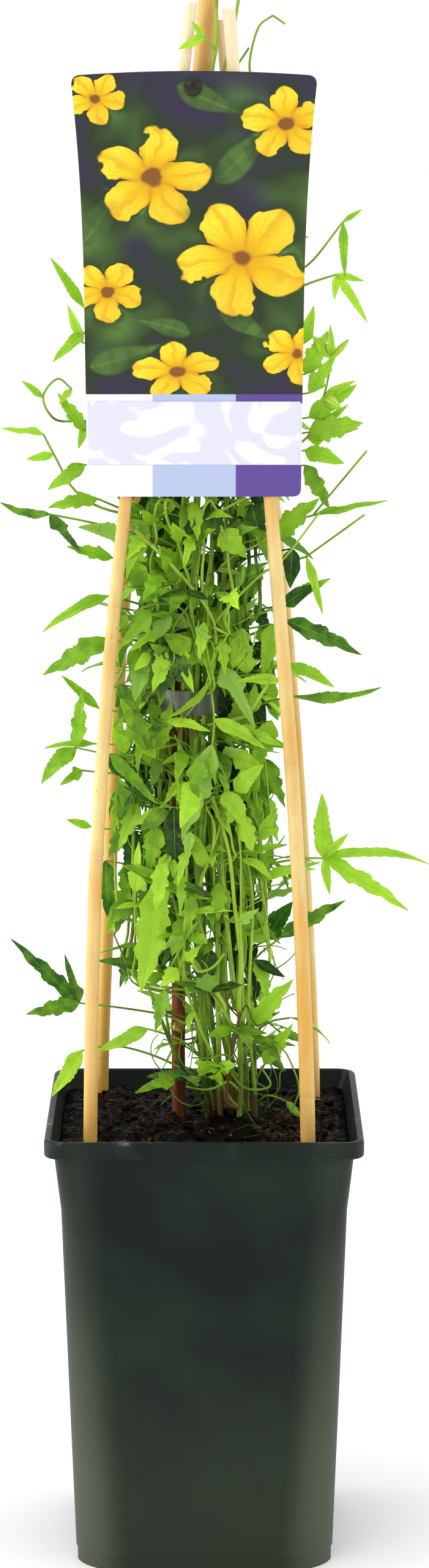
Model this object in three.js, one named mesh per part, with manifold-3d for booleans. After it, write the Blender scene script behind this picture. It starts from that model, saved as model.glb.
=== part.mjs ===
// A young clematis climbing four bamboo canes in a square, deep container, with its tag card.
// Millimetres, +Z up. The origin is the middle of the pot's underside and the card faces -Y.
import * as THREE from 'three';
import Module from 'manifold-3d';

const wasm = await Module();
wasm.setup();

// ---------------------------------------------------------------- driving dimensions

const GAP = 0.3; // clearance between neighbouring pieces

const POT = {
  height: 222,
  lipWidth: 156,
  lipHeight: 8.5,
  lipCorner: 10,
  neckWidth: 146,
  neckCorner: 6,
  kinkWidth: 140,
  kinkHeight: 185,
  kinkCorner: 8,
  baseWidth: 128,
  baseCorner: 18,
  footHeight: 6,
  footStep: 0.7,
  footBevel: 1.5,
  lipUnder: 1, // the lip's lower edge is cut back by this
  lipEdge: 1.5, // its upper edges are rounded over this height
  lipLand: [2, 5], // its flat top lies between these, taken off the lip's width
  lipThroat: 7,
  throatDrop: 1.5,
  wall: 1.5,
  floor: 2.4,
  cornerSteps: 3,
};
const DRAIN = { count: 8, sides: 8, radius: 4.5, ring: 40 };

const SOIL = { edge: 213, mound: 4, lump: 1.2, rings: [0.8, 0.5], bulge: 30, steps: 3 };
// Waves that make the lumps of the soil: [size, along x, along y, start].
const LUMPS = [
  [1, 0.31, 0.27, 1.3],
  [1, 0.17, -0.23, 0.8],
  [0.6, 0.53, 0.47, 0],
];

// Each upright is a list of [height, x, y, radius] that it passes through.
const CANES = {
  cane_front_left: [
    [18, -57, -48, 3.6],
    [216, -56, -47, 3.45],
    [363, -52, -46, 3.3],
    [519, -39, -35, 3.1],
    [735, -9.5, -11.5, 2.9],
    [766, -5.9, -8.5, 2.9],
  ],
  cane_front_right: [
    [18, 51.5, -51, 3.8],
    [216, 51, -50, 3.7],
    [363, 45, -47, 3.5],
    [519, 33, -35.5, 3.3],
    [735, 14, -10.5, 3.1],
    [763, 12, -8, 3.1],
  ],
  cane_back_left: [
    [18, -53.5, 57, 3.4],
    [216, -53, 56, 3.35],
    [356, -47, 50, 3.6],
    [500, -38, 36, 3.9],
    [738, 0, 6, 4.8],
    [768, 2.3, 4, 4.8],
  ],
  cane_back_right: [
    [18, 57, 41, 3.3],
    [216, 56, 40, 3.2],
    [358, 49, 37, 3.15],
    [490, 38, 29, 3.1],
    [735, 10, 11, 3],
    [758, 8.7, 8.5, 3],
  ],
};
const CANE_LEVELS = [216, 265, 314, 363, 415, 467, 519, 573, 627, 680, 718, 734];
const CANE_SIDES = 8;

const STAKE = { x: -13, y: 0, radius: 3.5, bottom: 40, top: 446 };

// The stems fill a disc whose centre, radius and turn change with the height.
const STEM_COUNT = 14;
const STEM_TOPS = [785, 783, 560, 690, 600, 520, 660, 580, 700, 540, 640, 500, 615, 470];
const STEM_ROOT = 192;
const STEM_RADIUS = { root: 1.7, tip: 0.95 };
const STEM_SIDES = 5;
const STEM_STEP = 38;
const STEM_TIP = 9;
const GOLDEN_ANGLE = 2.39996;
// [height, centre x, centre y, radius, turn]
const BUNDLE = [
  [190, 12, 2, 12.5, 0],
  [216, 12, 2, 13.5, 0],
  [290, 5, 0, 18, 0.5],
  [350, 1, -1, 20, 0.9],
  [428, -6.5, 0, 14, 1.5],
  [500, -3, -2, 19, 2],
  [600, 0, -3, 15, 2.8],
  [726, 5, -3, 8, 3.88],
  [766, 10, -4, 22, 3.88],
  [800, 11, -4, 25, 3.9],
];
const STAKE_ROOM = 6.6; // stems keep this far from the stake's axis
const STAKE_ROOM_ENDS = [448, 500];

const TIE = { height: 428, band: 12, wall: 0.9 };
const TIE_TAIL = { length: 9, thick: 1.4, band: 10, sunk: 0.5, y: -1 };
const STRAP = { height: 726, band: 11, wall: 1.2 };
// The dome is listed as shares of the head's radius and of its height.
const STUD = { x: -5.3, shank: 2, shankSides: 8, sunk: 0.3, head: 4.25, headHeight: 2.2 };
const STUD_DOME = [
  [1, 0],
  [1, 0.32],
  [0.72, 0.8],
];
const STUD_SIDES = 12;
const STRAP_DIRECTIONS = 24;

const TAG = {
  top: 734,
  topDepth: -18.1,
  length: 203,
  bottomDepth: -38.15,
  thick: 0.8,
  middle: -4.7,
  halfTop: 58.7,
  halfWaist: 52.8,
  halfBottom: 51.4,
  waist: 105,
  swell: 0.8, // how far the side edges curve out above the waist
  rise: 2.5, // how far the top corners lie below the top edge's middle
  shoulder: 2.1,
  crown: 1.7,
  corner: 4,
  hole: 2.6,
  curveSteps: 4,
};
const LABEL = { top: 157.5, bottom: 187.5, thick: 0.3, inset: 1 };

const BLADE_THICK = 0.7;
const STALK_HALF = 0.65; // half the width of a leaf stalk

// Blade outlines: [share of the length, left half, right half], as shares of the half width.
const OUTLINES = {
  twig: [[0.5, 1, 1]],
  plain: [
    [0.36, 1, 0.92],
    [0.7, 0.62, 0.66],
  ],
  lance: [
    [0.24, 0.86, 1],
    [0.5, 1, 0.8],
    [0.76, 0.5, 0.56],
  ],
  lobed: [
    [0.24, 0.7, 1],
    [0.34, 1, 0.52],
    [0.46, 0.5, 0.48],
    [0.72, 0.42, 0.36],
  ],
  toothed: [
    [0.2, 0.8, 0.62],
    [0.3, 0.64, 1],
    [0.42, 1, 0.7],
    [0.54, 0.64, 0.86],
    [0.68, 0.7, 0.42],
    [0.82, 0.3, 0.38],
  ],
  saw: [
    [0.16, 0.6, 0.5],
    [0.25, 0.56, 0.88],
    [0.35, 1, 0.74],
    [0.45, 0.78, 1],
    [0.55, 0.96, 0.7],
    [0.64, 0.62, 0.82],
    [0.75, 0.62, 0.42],
    [0.87, 0.24, 0.32],
  ],
};
const BELLY = 0.42; // where the widest part of a side leaflet lies
const BUD_SIDEWAYS = [0.31, 0.95, 0.05]; // any direction that no bud grows along
// A bud: [share of the length, share of the half width].
const BUD_OUTLINE = [
  [0, 0.25],
  [0.3, 0.95],
  [0.65, 1],
];

// ---------------------------------------------------------------- sprays placed by hand
// spray(root height, points of the stalk, blades). A blade is [point of the stalk it grows from,
// tip, width, outline, facing, arch]: facing 0 looks up and 90 looks to the front.
const spray = (root, way, blades) => ({ root, way, blades });

const CENTRE_SPRAYS = [
  spray(466, [[1, -20, 457], [3, -24, 440], [5, -29, 422], [4, -31, 410]], [
    [3, [-11, -33, 363], 15.5, 'toothed', 78, 3],
    [1, [-18, -30, 423], 6, 'plain', 25, -4],
    [2, [30, -32, 408], 8, 'lance', 60, 3],
  ]),
  spray(468, [[8, -22, 456], [9, -25, 448]], [[1, [25, -31, 418], 13, 'lobed', 75, 2]]),
  spray(478, [[-14, -21, 468], [-16, -25, 460]], [
    [1, [-25, -33, 436], 12, 'toothed', 75, 2],
    [1, [-5, -33, 436], 12, 'lobed', 75, 2],
  ]),
  spray(392, [[-24, -18, 403]], [[0, [-41, -26, 432], 9, 'toothed', 80, 0]]),
  spray(400, [[27, -18, 409]], [[0, [38, -24, 410], 6, 'plain', 40, 0]]),
  spray(392, [[-34, -15, 400], [-46, -22, 404]], [[1, [-23, -28, 380], 7, 'lance', 60, 0]]),
  spray(384, [[16, -24, 392]], [[0, [29, -28, 399], 8, 'lobed', 60, 0]]),
  spray(344, [[20, -18, 354], [27, -22, 362]], [
    [0, [41, -24, 359], 7, 'lobed', 60, 1],
    [1, [35, -26, 367], 6, 'plain', 60, 0],
    [1, [36, -22, 377], 6, 'plain', 60, 0],
  ]),
  spray(360, [[-32, -20, 369]], [[0, [-20, -26, 379], 6, 'plain', 60, 0]]),
  spray(442, [[14, -20, 446]], [[0, [18, -28, 466], 12, 'toothed', 85, 2]]),
  spray(440, [[30, -14, 442], [37, -24, 440]], [[1, [16, -31, 441], 7, 'lance', 50, 2]]),
  spray(350, [[-21, -25, 345]], [[0, [-31, -36, 287], 19, 'saw', 80, -4]]),
  spray(340, [[-28, -18, 347], [-40, -25, 349]], [[1, [3, -30, 333], 6, 'plain', 30, -2]]),
  spray(316, [[-13, -24, 324]], [[0, [14, -30, 327], 6, 'lance', 35, 1]]),
  spray(488, [[-34, -16, 499]], [
    [0, [-26, -26, 513], 11, 'lobed', 75, 1],
    [0, [-22, -27, 477], 7, 'lance', 70, 1],
  ]),
];

const LOWER_SPRAYS = [
  spray(252, [[24, -12, 266]], [[0, [44, -22, 291], 12, 'toothed', 70, 2]]),
  spray(234, [[30, -10, 245]], [[0, [44, -20, 268], 10, 'toothed', 70, 1]]),
  spray(282, [[25, -5, 297], [38, -7, 309]], [
    [1, [70, -8, 328], 10, 'toothed', 65, 2],
    [0, [40, -12, 290], 6, 'plain', 60, 0],
  ]),
  spray(286, [[-26, -14, 296]], [[0, [-53, -16, 299], 7, 'lance', 55, 1]]),
  spray(248, [[-12, -12, 258], [-28, -14, 264]], [[1, [-53, -16, 253], 8, 'lance', 60, 1]]),
  spray(262, [[-18, -12, 270], [-40, -16, 275], [-62, -22, 279]], [
    [2, [-95, -30, 313], 9, 'toothed', 72, 1],
    [2, [-69, -20, 303], 8, 'lobed', 72, 0],
    [2, [-88, -30, 275], 10, 'toothed', 72, 2],
  ]),
  spray(236, [[-24, -6, 248], [-45, -8, 254], [-61, -10, 252]], [
    [2, [-76, -16, 230], 9, 'lance', 75, 3],
  ]),
  spray(222, [[32, -14, 230], [41, -18, 228]], [[1, [48, -20, 220], 4, 'bud', 0, 0]]),
];

const RIGHT_SPRAYS = [
  spray(338, [[34, -6, 346], [50, -8, 349], [59, -12, 350]], [
    [2, [58, -14, 383], 10, 'lance', 85, 1],
    [2, [111, -18, 348], 7, 'lance', 45, 7],
    [2, [71, -16, 363], 5, 'plain', 60, 0],
    [2, [101, -20, 325], 10, 'toothed', 65, 3],
    [2, [62, -18, 333], 5, 'plain', 70, 0],
  ]),
  spray(464, [[32, -8, 473], [39, -8, 476]], [[1, [62, -10, 489], 7, 'lance', 60, 1]]),
  spray(454, [[30, -10, 464], [40, -10, 468]], [[1, [77, -16, 452], 11, 'toothed', 65, 3]]),
  spray(436, [[30, -6, 444], [42, -6, 446]], [[1, [64, -10, 435], 7, 'lance', 60, 2]]),
  spray(416, [[28, -5, 426], [43, -6, 430]], [[1, [87, -10, 435], 6, 'plain', 50, -5]]),
  spray(484, [[36, -11, 495], [50, -13, 500]], [
    [1, [58, -15, 472], 5, 'plain', 70, 1],
    [1, [78, -18, 521], 1.2, 'twig', 60, 0],
  ]),
  spray(498, [[33, -14, 509]], [[0, [56, -18, 529], 13, 'toothed', 72, 2]]),
  spray(506, [[38, -10, 516], [53, -12, 520]], [
    [1, [79, -17, 552], 1.2, 'twig', 60, 0],
    [1, [89, -18, 528], 5, 'plain', 50, 1],
  ]),
  spray(538, [[34, -8, 550], [50, -12, 558], [58, -15, 578], [62, -16, 597]], [
    [1, [75, -18, 563], 11, 'lobed', 70, 2],
    [1, [70, -12, 574], 6, 'plain', 70, 0],
    [2, [73, -18, 586], 5, 'plain', 70, 0],
    [2, [66, -20, 573], 6, 'bud', 0, 0],
    [3, [61, -18, 613], 6, 'lobed', 70, 1],
    [3, [70, -17, 606], 3, 'bud', 0, 0],
    [3, [52, -18, 608], 6, 'lance', 70, 0],
  ]),
  spray(626, [[34, -5, 636], [50, -8, 641], [67, -12, 662]], [
    [2, [68, -15, 636], 5, 'plain', 70, -4],
    [2, [76, -13, 668], 3, 'plain', 60, 0],
  ]),
  spray(616, [[34, -8, 626], [52, -12, 633], [64, -14, 637]], [
    [2, [77, -16, 634], 4, 'plain', 60, 0],
    [2, [79, -16, 614], 5, 'plain', 70, 1],
    [2, [63, -15, 625], 4, 'plain', 70, 0],
  ]),
];

const LEFT_SPRAYS = [
  spray(604, [[-30, -6, 612], [-58, -13, 621]], [[1, [-74, -16, 645], 6, 'plain', 65, 1]]),
  spray(596, [[-34, -9, 604], [-58, -13, 609]], [[1, [-73, -16, 595], 6, 'lance', 60, 1]]),
  spray(552, [[-40, -9, 562], [-57, -12, 566], [-72, -15, 567], [-78, -17, 578], [-71, -18, 587],
    [-64, -18, 582]], [
    [1, [-61, -15, 553], 5, 'plain', 60, 0],
    [3, [-88, -19, 586], 4, 'plain', 60, 0],
    [5, [-70, -21, 575], 4, 'plain', 60, 1],
  ]),
  spray(516, [[-46, -8, 522], [-63, -10, 532], [-73, -14, 550], [-78, -16, 560]], [
    [3, [-98, -18, 563], 5, 'lance', 40, 1],
    [2, [-86, -17, 548], 5, 'plain', 60, 0],
  ]),
  spray(512, [[-38, -9, 522], [-52, -10, 528]], [[1, [-76, -14, 524], 9, 'toothed', 65, 2]]),
  spray(504, [[-34, -10, 511], [-56, -14, 517], [-75, -16, 521]], [
    [2, [-99, -18, 527], 6, 'lance', 40, -3],
    [2, [-60, -20, 503], 8, 'lobed', 75, -3],
  ]),
  spray(486, [[-32, -9, 495], [-45, -10, 499]], [[1, [-67, -14, 505], 8, 'toothed', 65, 1]]),
  spray(466, [[-30, -7, 475], [-47, -8, 480]], [[1, [-79, -14, 463], 7, 'lance', 55, 4]]),
  spray(446, [[-30, -8, 454], [-47, -9, 459]], [[1, [-79, -16, 442], 14, 'toothed', 65, 3]]),
  spray(412, [[-34, -5, 420], [-52, -6, 424]], [[1, [-70, -10, 441], 6, 'plain', 60, 0]]),
  spray(390, [[-34, -8, 398], [-63, -10, 405]], [
    [1, [-60, -14, 434], 9, 'toothed', 82, 0],
    [1, [-80, -16, 388], 10, 'plain', 60, 6],
  ]),
  spray(394, [[-36, -2, 404], [-54, -4, 406]], [[1, [-79, -6, 404], 5, 'plain', 40, 1]]),
  spray(380, [[-34, -8, 390], [-60, -12, 394]], [[1, [-71, -14, 387], 8, 'lobed', 70, 1]]),
  spray(352, [[-34, -6, 361], [-56, -8, 365]], [[1, [-68, -10, 369], 5, 'plain', 60, 0]]),
];

const TOP_SPRAYS = [
  spray(698, [[20, -4, 711], [23, -5, 726], [22, -5, 738], [26, -6, 754], [33, -6, 760]], [
    [4, [39, -6, 756], 1.2, 'twig', 60, 0],
  ]),
  spray(744, [[0, -15, 750]], [
    [0, [-12, -18, 744], 5, 'lance', 70, 0],
    [0, [-6, -18, 757], 4, 'plain', 70, 0],
  ]),
];

const HAND_SPRAYS = [
  ...CENTRE_SPRAYS,
  ...LOWER_SPRAYS,
  ...RIGHT_SPRAYS,
  ...LEFT_SPRAYS,
  ...TOP_SPRAYS,
];
const HAND_SHIFTS = [0, -2.5, 2.5, -5, 5, -7.5, 7.5, 10, -10]; // tried in turn, along Y

// Sprays that fill the column by rule, up each stem in turn. Pairs are drawn between.
const FILL = {
  seed: 11,
  first: 240,
  last: 700,
  stagger: 14,
  step: [64, 90],
  swing: [-0.8, 0.8],
  rise: [-0.45, 0.65],
  stalk: [12, 26],
  blade: [19, 34],
  droop: [-0.7, 0.6],
  roll: [-0.8, 0.8],
  lean: 0.7,
  slim: 0.36,
  arch: 2,
  pairAt: 0.55,
  pairShare: 0.66,
  pairAngle: 0.9,
  pairDroop: 0.6,
  outlines: ['toothed', 'lance', 'lobed', 'lance'],
};
const FILL_TURNS = [0, 0.6, -0.6, 1.2, -1.2, 1.9, -1.9, 2.6]; // tried in turn, round the stem
const ROOT_VOLUME = 3; // a stalk sunk into its own stem shares up to this many mm3 with it
const CROSSING_VOLUME = 1;
const SMOOTHING = 0.01; // joined stems lose edges shorter than this

const COLOURS = {
  pot: 0x2b3a3a,
  soil: 0x33261d,
  cane: 0xe0be86,
  caneTop: 0xc99a55,
  stake: 0x6d3a26,
  tie: 0x93a394,
  strap: 0x3f5a41,
  card: 0x47683a,
  label: 0xecebf5,
  leaf: 0x6fae2c,
};

// ---------------------------------------------------------------- solids

// A closed body from rings of points. Neighbouring rings are joined and both ends are capped,
// unless the rings come round to where they began. A ring of one repeated point is a tip.
function loft(rings, comesRound = false) {
  const ids = new Map();
  const positions = [];
  const index = [];
  const idOf = (point) => {
    if (!ids.has(point)) {
      ids.set(point, ids.size);
      positions.push(point.x, point.y, point.z);
    }
    return ids.get(point);
  };
  const face = (a, b, c) => {
    if (a !== b && b !== c && c !== a) index.push(idOf(a), idOf(b), idOf(c));
  };
  for (let i = 1; i < rings.length; i += 1) {
    const before = rings[i - 1];
    const ring = rings[i];
    for (let j = 0; j < ring.length; j += 1) {
      const next = (j + 1) % ring.length;
      face(before[j], before[next], ring[next]);
      face(before[j], ring[next], ring[j]);
    }
  }
  if (!comesRound) {
    const first = rings[0];
    const last = rings[rings.length - 1];
    for (let j = 1; j < first.length - 1; j += 1) {
      face(first[0], first[j + 1], first[j]);
      face(last[0], last[j], last[j + 1]);
    }
  }
  return geometryFrom(positions, index);
}

function geometryFrom(positions, index) {
  return new THREE.BufferGeometry()
    .setAttribute('position', new THREE.Float32BufferAttribute(positions, 3))
    .setIndex(index);
}

function solidFrom(geometry) {
  return new wasm.Manifold(
    new wasm.Mesh({
      numProp: 3,
      vertProperties: new Float32Array(geometry.getAttribute('position').array),
      triVerts: new Uint32Array(geometry.index.array),
    }),
  );
}

function geometryOf(solid) {
  const mesh = solid.getMesh();
  const positions = [];
  for (let i = 0; i < mesh.numVert; i += 1) {
    positions.push(...mesh.vertProperties.subarray(i * mesh.numProp, i * mesh.numProp + 3));
  }
  return geometryFrom(positions, Array.from(mesh.triVerts));
}

// three.js primitives carry normals and doubled vertices; only the places are kept.
function solidFromPrimitive(geometry) {
  const places = geometry.index ? geometry.toNonIndexed() : geometry;
  const source = places.getAttribute('position');
  const ids = new Map();
  const positions = [];
  const index = [];
  for (let i = 0; i < source.count; i += 1) {
    const place = [source.getX(i), source.getY(i), source.getZ(i)];
    const key = place.map((value) => value.toFixed(4)).join();
    if (!ids.has(key)) {
      ids.set(key, ids.size);
      positions.push(...place);
    }
    index.push(ids.get(key));
  }
  return solidFrom(geometryFrom(positions, index));
}

function roundedSquare(width, corner, height, cornerSteps, sideSteps) {
  const inner = width / 2 - corner;
  const points = [];
  for (let quarter = 0; quarter < 4; quarter += 1) {
    const turn = (quarter * Math.PI) / 2;
    const centre = new THREE.Vector3(inner, inner, height).applyAxisAngle(UP, turn);
    for (let i = 0; i <= cornerSteps; i += 1) {
      const angle = turn + ((i / cornerSteps) * Math.PI) / 2;
      const reach = new THREE.Vector3(Math.cos(angle), Math.sin(angle), 0);
      points.push(centre.clone().addScaledVector(reach, corner));
    }
    const next = new THREE.Vector3(inner, inner, height).applyAxisAngle(UP, turn + Math.PI / 2);
    const from = points[points.length - 1];
    const side = new THREE.Vector3(Math.cos(turn + Math.PI / 2), Math.sin(turn + Math.PI / 2), 0);
    const to = next.addScaledVector(side, corner);
    for (let i = 1; i < sideSteps; i += 1) points.push(from.clone().lerp(to, i / sideSteps));
  }
  return points;
}

const UP = new THREE.Vector3(0, 0, 1);

// A smooth value between the rows of a table whose first column is the height.
function alongHeight(table, height) {
  let row = 0;
  while (row < table.length - 2 && height > table[row + 1][0]) row += 1;
  const [a, b] = [table[row], table[row + 1]];
  const before = table[Math.max(row - 1, 0)];
  const after = table[Math.min(row + 2, table.length - 1)];
  const span = b[0] - a[0];
  const t = (height - a[0]) / span;
  return a.slice(1).map((from, i) => {
    const to = b[i + 1];
    const slopeA = ((to - before[i + 1]) / (b[0] - before[0])) * span;
    const slopeB = ((after[i + 1] - from) / (after[0] - a[0])) * span;
    const turn = 3 * (to - from) - 2 * slopeA - slopeB;
    const ease = slopeA + slopeB - 2 * (to - from);
    return from + t * (slopeA + t * (turn + t * ease));
  });
}

function levelRing(x, y, height, radius, sides) {
  return Array.from({ length: sides }, (_, i) => {
    const angle = (i * 2 * Math.PI) / sides;
    return new THREE.Vector3(x + radius * Math.cos(angle), y + radius * Math.sin(angle), height);
  });
}

// A thin strip along a line of points, pointed at both ends, with a left and a right half width
// at each inner point. Its upper and lower faces share one set of diagonals.
function ribbon(line, halves, facing) {
  const half = BLADE_THICK / 2;
  const positions = [];
  const index = [];
  const put = (place, i, reach, lift) => {
    const along = line[Math.min(i + 1, line.length - 1)].clone().sub(line[Math.max(i - 1, 0)]);
    const side = along.clone().cross(facing).normalize();
    const normal = side.clone().cross(along).normalize();
    const point = place.clone().addScaledVector(side, reach).addScaledVector(normal, lift);
    positions.push(point.x, point.y, point.z);
  };
  const last = line.length - 1;
  put(line[0], 0, 0, half);
  put(line[0], 0, 0, -half);
  halves.forEach(([left, right], i) => {
    put(line[i + 1], i + 1, right, half);
    put(line[i + 1], i + 1, right, -half);
    put(line[i + 1], i + 1, -left, -half);
    put(line[i + 1], i + 1, -left, half);
  });
  put(line[last], last, 0, half);
  put(line[last], last, 0, -half);
  index.push(0, 1, 3, 0, 3, 2, 1, 4, 3, 1, 0, 5, 1, 5, 4, 0, 2, 5);
  for (let a = 2; a < 4 * halves.length - 2; a += 4) {
    const b = a + 4;
    index.push(a, a + 1, b + 1, a, b + 1, b);
    index.push(a + 1, a + 2, b + 1, a + 2, b + 2, b + 1);
    index.push(a + 2, a + 3, b + 3, a + 2, b + 3, b + 2);
    index.push(a + 3, a, b, a + 3, b, b + 3);
  }
  const z = 4 * halves.length - 2;
  const end = z + 4;
  index.push(z, z + 1, end + 1, z, end + 1, end);
  index.push(z + 1, z + 2, end + 1);
  index.push(z + 2, z + 3, end, z + 2, end, end + 1);
  index.push(z + 3, z, end);
  return solidFrom(geometryFrom(positions, index));
}

// The line and the half widths of a blade, from just past its base to its tip.
function bladeParts(base, tip, width, outline, facing, arch) {
  const along = tip.clone().sub(base);
  const side = along.clone().cross(facing).normalize();
  const normal = side.clone().cross(along).normalize();
  const rows = OUTLINES[outline];
  const line = rows.map(([t]) =>
    base.clone().addScaledVector(along, t).addScaledVector(normal, arch * 4 * t * (1 - t)),
  );
  line.push(tip);
  return { line, halves: rows.map(([, left, right]) => [(left * width) / 2, (right * width) / 2]) };
}

function bladeSolid(base, tip, width, outline, facing, arch) {
  if (outline === 'bud') return bud(base, tip, width);
  const { line, halves } = bladeParts(base, tip, width, outline, facing, arch);
  return ribbon([base, ...line], halves, facing);
}

// A stalk that runs on as a blade, in one strip.
function stalkedBlade(way, tip, width, outline, facing, arch) {
  const base = way[way.length - 1];
  const stalk = way.slice(1).map(() => [STALK_HALF, STALK_HALF]);
  if (outline === 'bud') {
    const strip = ribbon([...way, base.clone().lerp(tip, 0.5)], stalk, facing);
    return strip.add(bud(base, tip, width));
  }
  const { line, halves } = bladeParts(base, tip, width, outline, facing, arch);
  return ribbon([...way, ...line], [...stalk, ...halves], facing);
}

// Two leaflets on either side of a stalk, in one strip through it.
function leafletPair(middle, tips, width, facing) {
  const bellies = tips.map((tip) => middle.clone().lerp(tip, BELLY));
  const line = [tips[0], bellies[0], middle, bellies[1], tips[1]];
  const belly = [width / 2, width / 2];
  return ribbon(line, [belly, [STALK_HALF, STALK_HALF], belly], facing);
}

function bud(base, tip, width) {
  const along = tip.clone().sub(base).normalize();
  const across = new THREE.Vector3(...BUD_SIDEWAYS).cross(along).normalize();
  const other = along.clone().cross(across);
  const rings = BUD_OUTLINE.map(([share, reach]) =>
    levelRing(0, 0, 0, (reach * width) / 2, STEM_SIDES).map(({ x, y }) =>
      base.clone().lerp(tip, share).addScaledVector(across, x).addScaledVector(other, y),
    ),
  );
  rings.push(Array(STEM_SIDES).fill(tip));
  return solidFrom(loft(rings));
}

// The outline of a strap pulled tight round circles, as one point for each direction.
function strapOutline(circles, off) {
  const reach = (angle) =>
    Math.max(...circles.map((c) => c.x * Math.cos(angle) + c.y * Math.sin(angle) + c.radius));
  const turn = (2 * Math.PI) / STRAP_DIRECTIONS;
  return Array.from({ length: STRAP_DIRECTIONS }, (_, i) => {
    const [a, b] = [i * turn, (i + 1) * turn];
    const [reachA, reachB] = [reach(a) + off, reach(b) + off];
    return new THREE.Vector2(
      (reachA * Math.sin(b) - reachB * Math.sin(a)) / Math.sin(turn),
      (reachB * Math.cos(a) - reachA * Math.cos(b)) / Math.sin(turn),
    );
  });
}

function strapLoop(circles, height, band, wall) {
  const at = (off, z) => strapOutline(circles, off).map((p) => new THREE.Vector3(p.x, p.y, z));
  const [low, high] = [height - band / 2, height + band / 2];
  const outerLow = at(GAP + wall, low);
  const rings = [outerLow, at(GAP + wall, high), at(GAP, high), at(GAP, low), outerLow];
  return solidFrom(loft(rings, true));
}

const bandEdges = ({ height, band }) => [height - band / 2, height, height + band / 2];

function box(width, depth, height, x, y, z) {
  return solidFromPrimitive(new THREE.BoxGeometry(width, depth, height).translate(x, y, z));
}

// ---------------------------------------------------------------- pot and soil

function potRings() {
  const p = POT;
  const ring = (width, corner, height) => roundedSquare(width, corner, height, p.cornerSteps, 1);
  const lipRing = (less, height) => ring(p.lipWidth - less, p.lipCorner - less / 2, height);
  const lipBottom = p.height - p.lipHeight;
  const inner = (width) => width - 2 * p.wall;
  return [
    ring(p.baseWidth - 2 * p.footStep, p.baseCorner, 0),
    ring(p.baseWidth - 2 * p.footStep, p.baseCorner, p.footHeight),
    ring(p.baseWidth, p.baseCorner, p.footHeight + p.footBevel),
    ring(p.kinkWidth, p.kinkCorner, p.kinkHeight),
    ring(p.neckWidth, p.neckCorner, lipBottom),
    lipRing(p.lipUnder, lipBottom),
    lipRing(0, lipBottom + p.lipUnder),
    lipRing(0, p.height - p.lipEdge),
    lipRing(p.lipLand[0], p.height),
    lipRing(p.lipLand[1], p.height),
    lipRing(p.lipThroat, p.height - p.lipEdge),
    ring(inner(p.neckWidth), p.neckCorner - 1, lipBottom - p.throatDrop),
    ring(inner(p.kinkWidth), p.kinkCorner - 1, p.kinkHeight),
    ring(inner(p.baseWidth), p.baseCorner - 1, p.floor),
  ];
}

function potSolid() {
  let pot = solidFrom(loft(potRings()));
  for (let i = 0; i < DRAIN.count; i += 1) {
    const angle = ((i + 0.5) * 2 * Math.PI) / DRAIN.count;
    const { radius, ring, sides } = DRAIN;
    const hole = new THREE.CylinderGeometry(radius, radius, 4 * POT.floor, sides)
      .rotateX(Math.PI / 2)
      .translate(ring * Math.cos(angle), ring * Math.sin(angle), POT.floor / 2);
    pot = pot.subtract(solidFromPrimitive(hole));
  }
  return pot;
}

function soilHeight(x, y, share) {
  if (share === 1) return SOIL.edge;
  let height = SOIL.edge + SOIL.mound * (1 - share * share);
  for (const [size, alongX, alongY, start] of LUMPS) {
    height += SOIL.lump * size * Math.sin(x * alongX + y * alongY + start);
  }
  return height;
}

function soilSolid(holes) {
  const width = (height) => {
    const share = (height - POT.floor) / (POT.kinkHeight - POT.floor);
    const outer = POT.baseWidth + (POT.kinkWidth - POT.baseWidth) * share;
    return outer - 2 * (POT.wall + GAP);
  };
  const ring = (w, corner, height) => roundedSquare(w, corner, height, SOIL.steps, SOIL.steps);
  const neck = POT.neckWidth - 2 * (POT.wall + GAP);
  const neckHeight = POT.height - POT.lipHeight - POT.throatDrop;
  const rings = [
    ring(width(POT.floor + GAP), POT.baseCorner - 1, POT.floor + GAP),
    ring(width(POT.kinkHeight), POT.kinkCorner - 1, POT.kinkHeight),
    ring(neck, POT.neckCorner - 1, neckHeight),
  ];
  for (const share of [1, ...SOIL.rings]) {
    const corner = (POT.neckCorner - 1) * share + SOIL.bulge * (1 - share) * share;
    const top = ring(neck * share, corner, 0);
    for (const point of top) point.z = soilHeight(point.x, point.y, share);
    rings.push(top);
  }
  const middle = new THREE.Vector3(0, 0, soilHeight(0, 0, 0));
  rings.push(Array(rings[0].length).fill(middle));
  return solidFrom(loft(rings)).subtract(wasm.Manifold.union(holes));
}

// ---------------------------------------------------------------- stems

function stemPlace(stem, height) {
  const [centreX, centreY, reach, turn] = alongHeight(BUNDLE, height);
  const angle = stem * GOLDEN_ANGLE + turn;
  const radius = reach * Math.sqrt((stem + 0.5) / STEM_COUNT);
  const x = centreX + radius * Math.cos(angle);
  const y = centreY + radius * Math.sin(angle);
  const [full, none] = STAKE_ROOM_ENDS;
  const room = STAKE_ROOM * Math.min(Math.max((none - height) / (none - full), 0), 1);
  const away = Math.hypot(x - STAKE.x, y - STAKE.y);
  const push = Math.hypot(away, room) / away;
  return new THREE.Vector3(
    STAKE.x + (x - STAKE.x) * push,
    STAKE.y + (y - STAKE.y) * push,
    height,
  );
}

// Stems run straight between levels that they all share.
function stemPoint(stem, height) {
  const level = Math.floor((height - STEM_ROOT) / STEM_STEP) * STEM_STEP + STEM_ROOT;
  const share = (height - level) / STEM_STEP;
  return stemPlace(stem, level).lerp(stemPlace(stem, level + STEM_STEP), share);
}

function stemRadius(stem, height) {
  const share = (height - STEM_ROOT) / (STEM_TOPS[stem] - STEM_ROOT);
  return STEM_RADIUS.root + (STEM_RADIUS.tip - STEM_RADIUS.root) * share;
}

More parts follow.
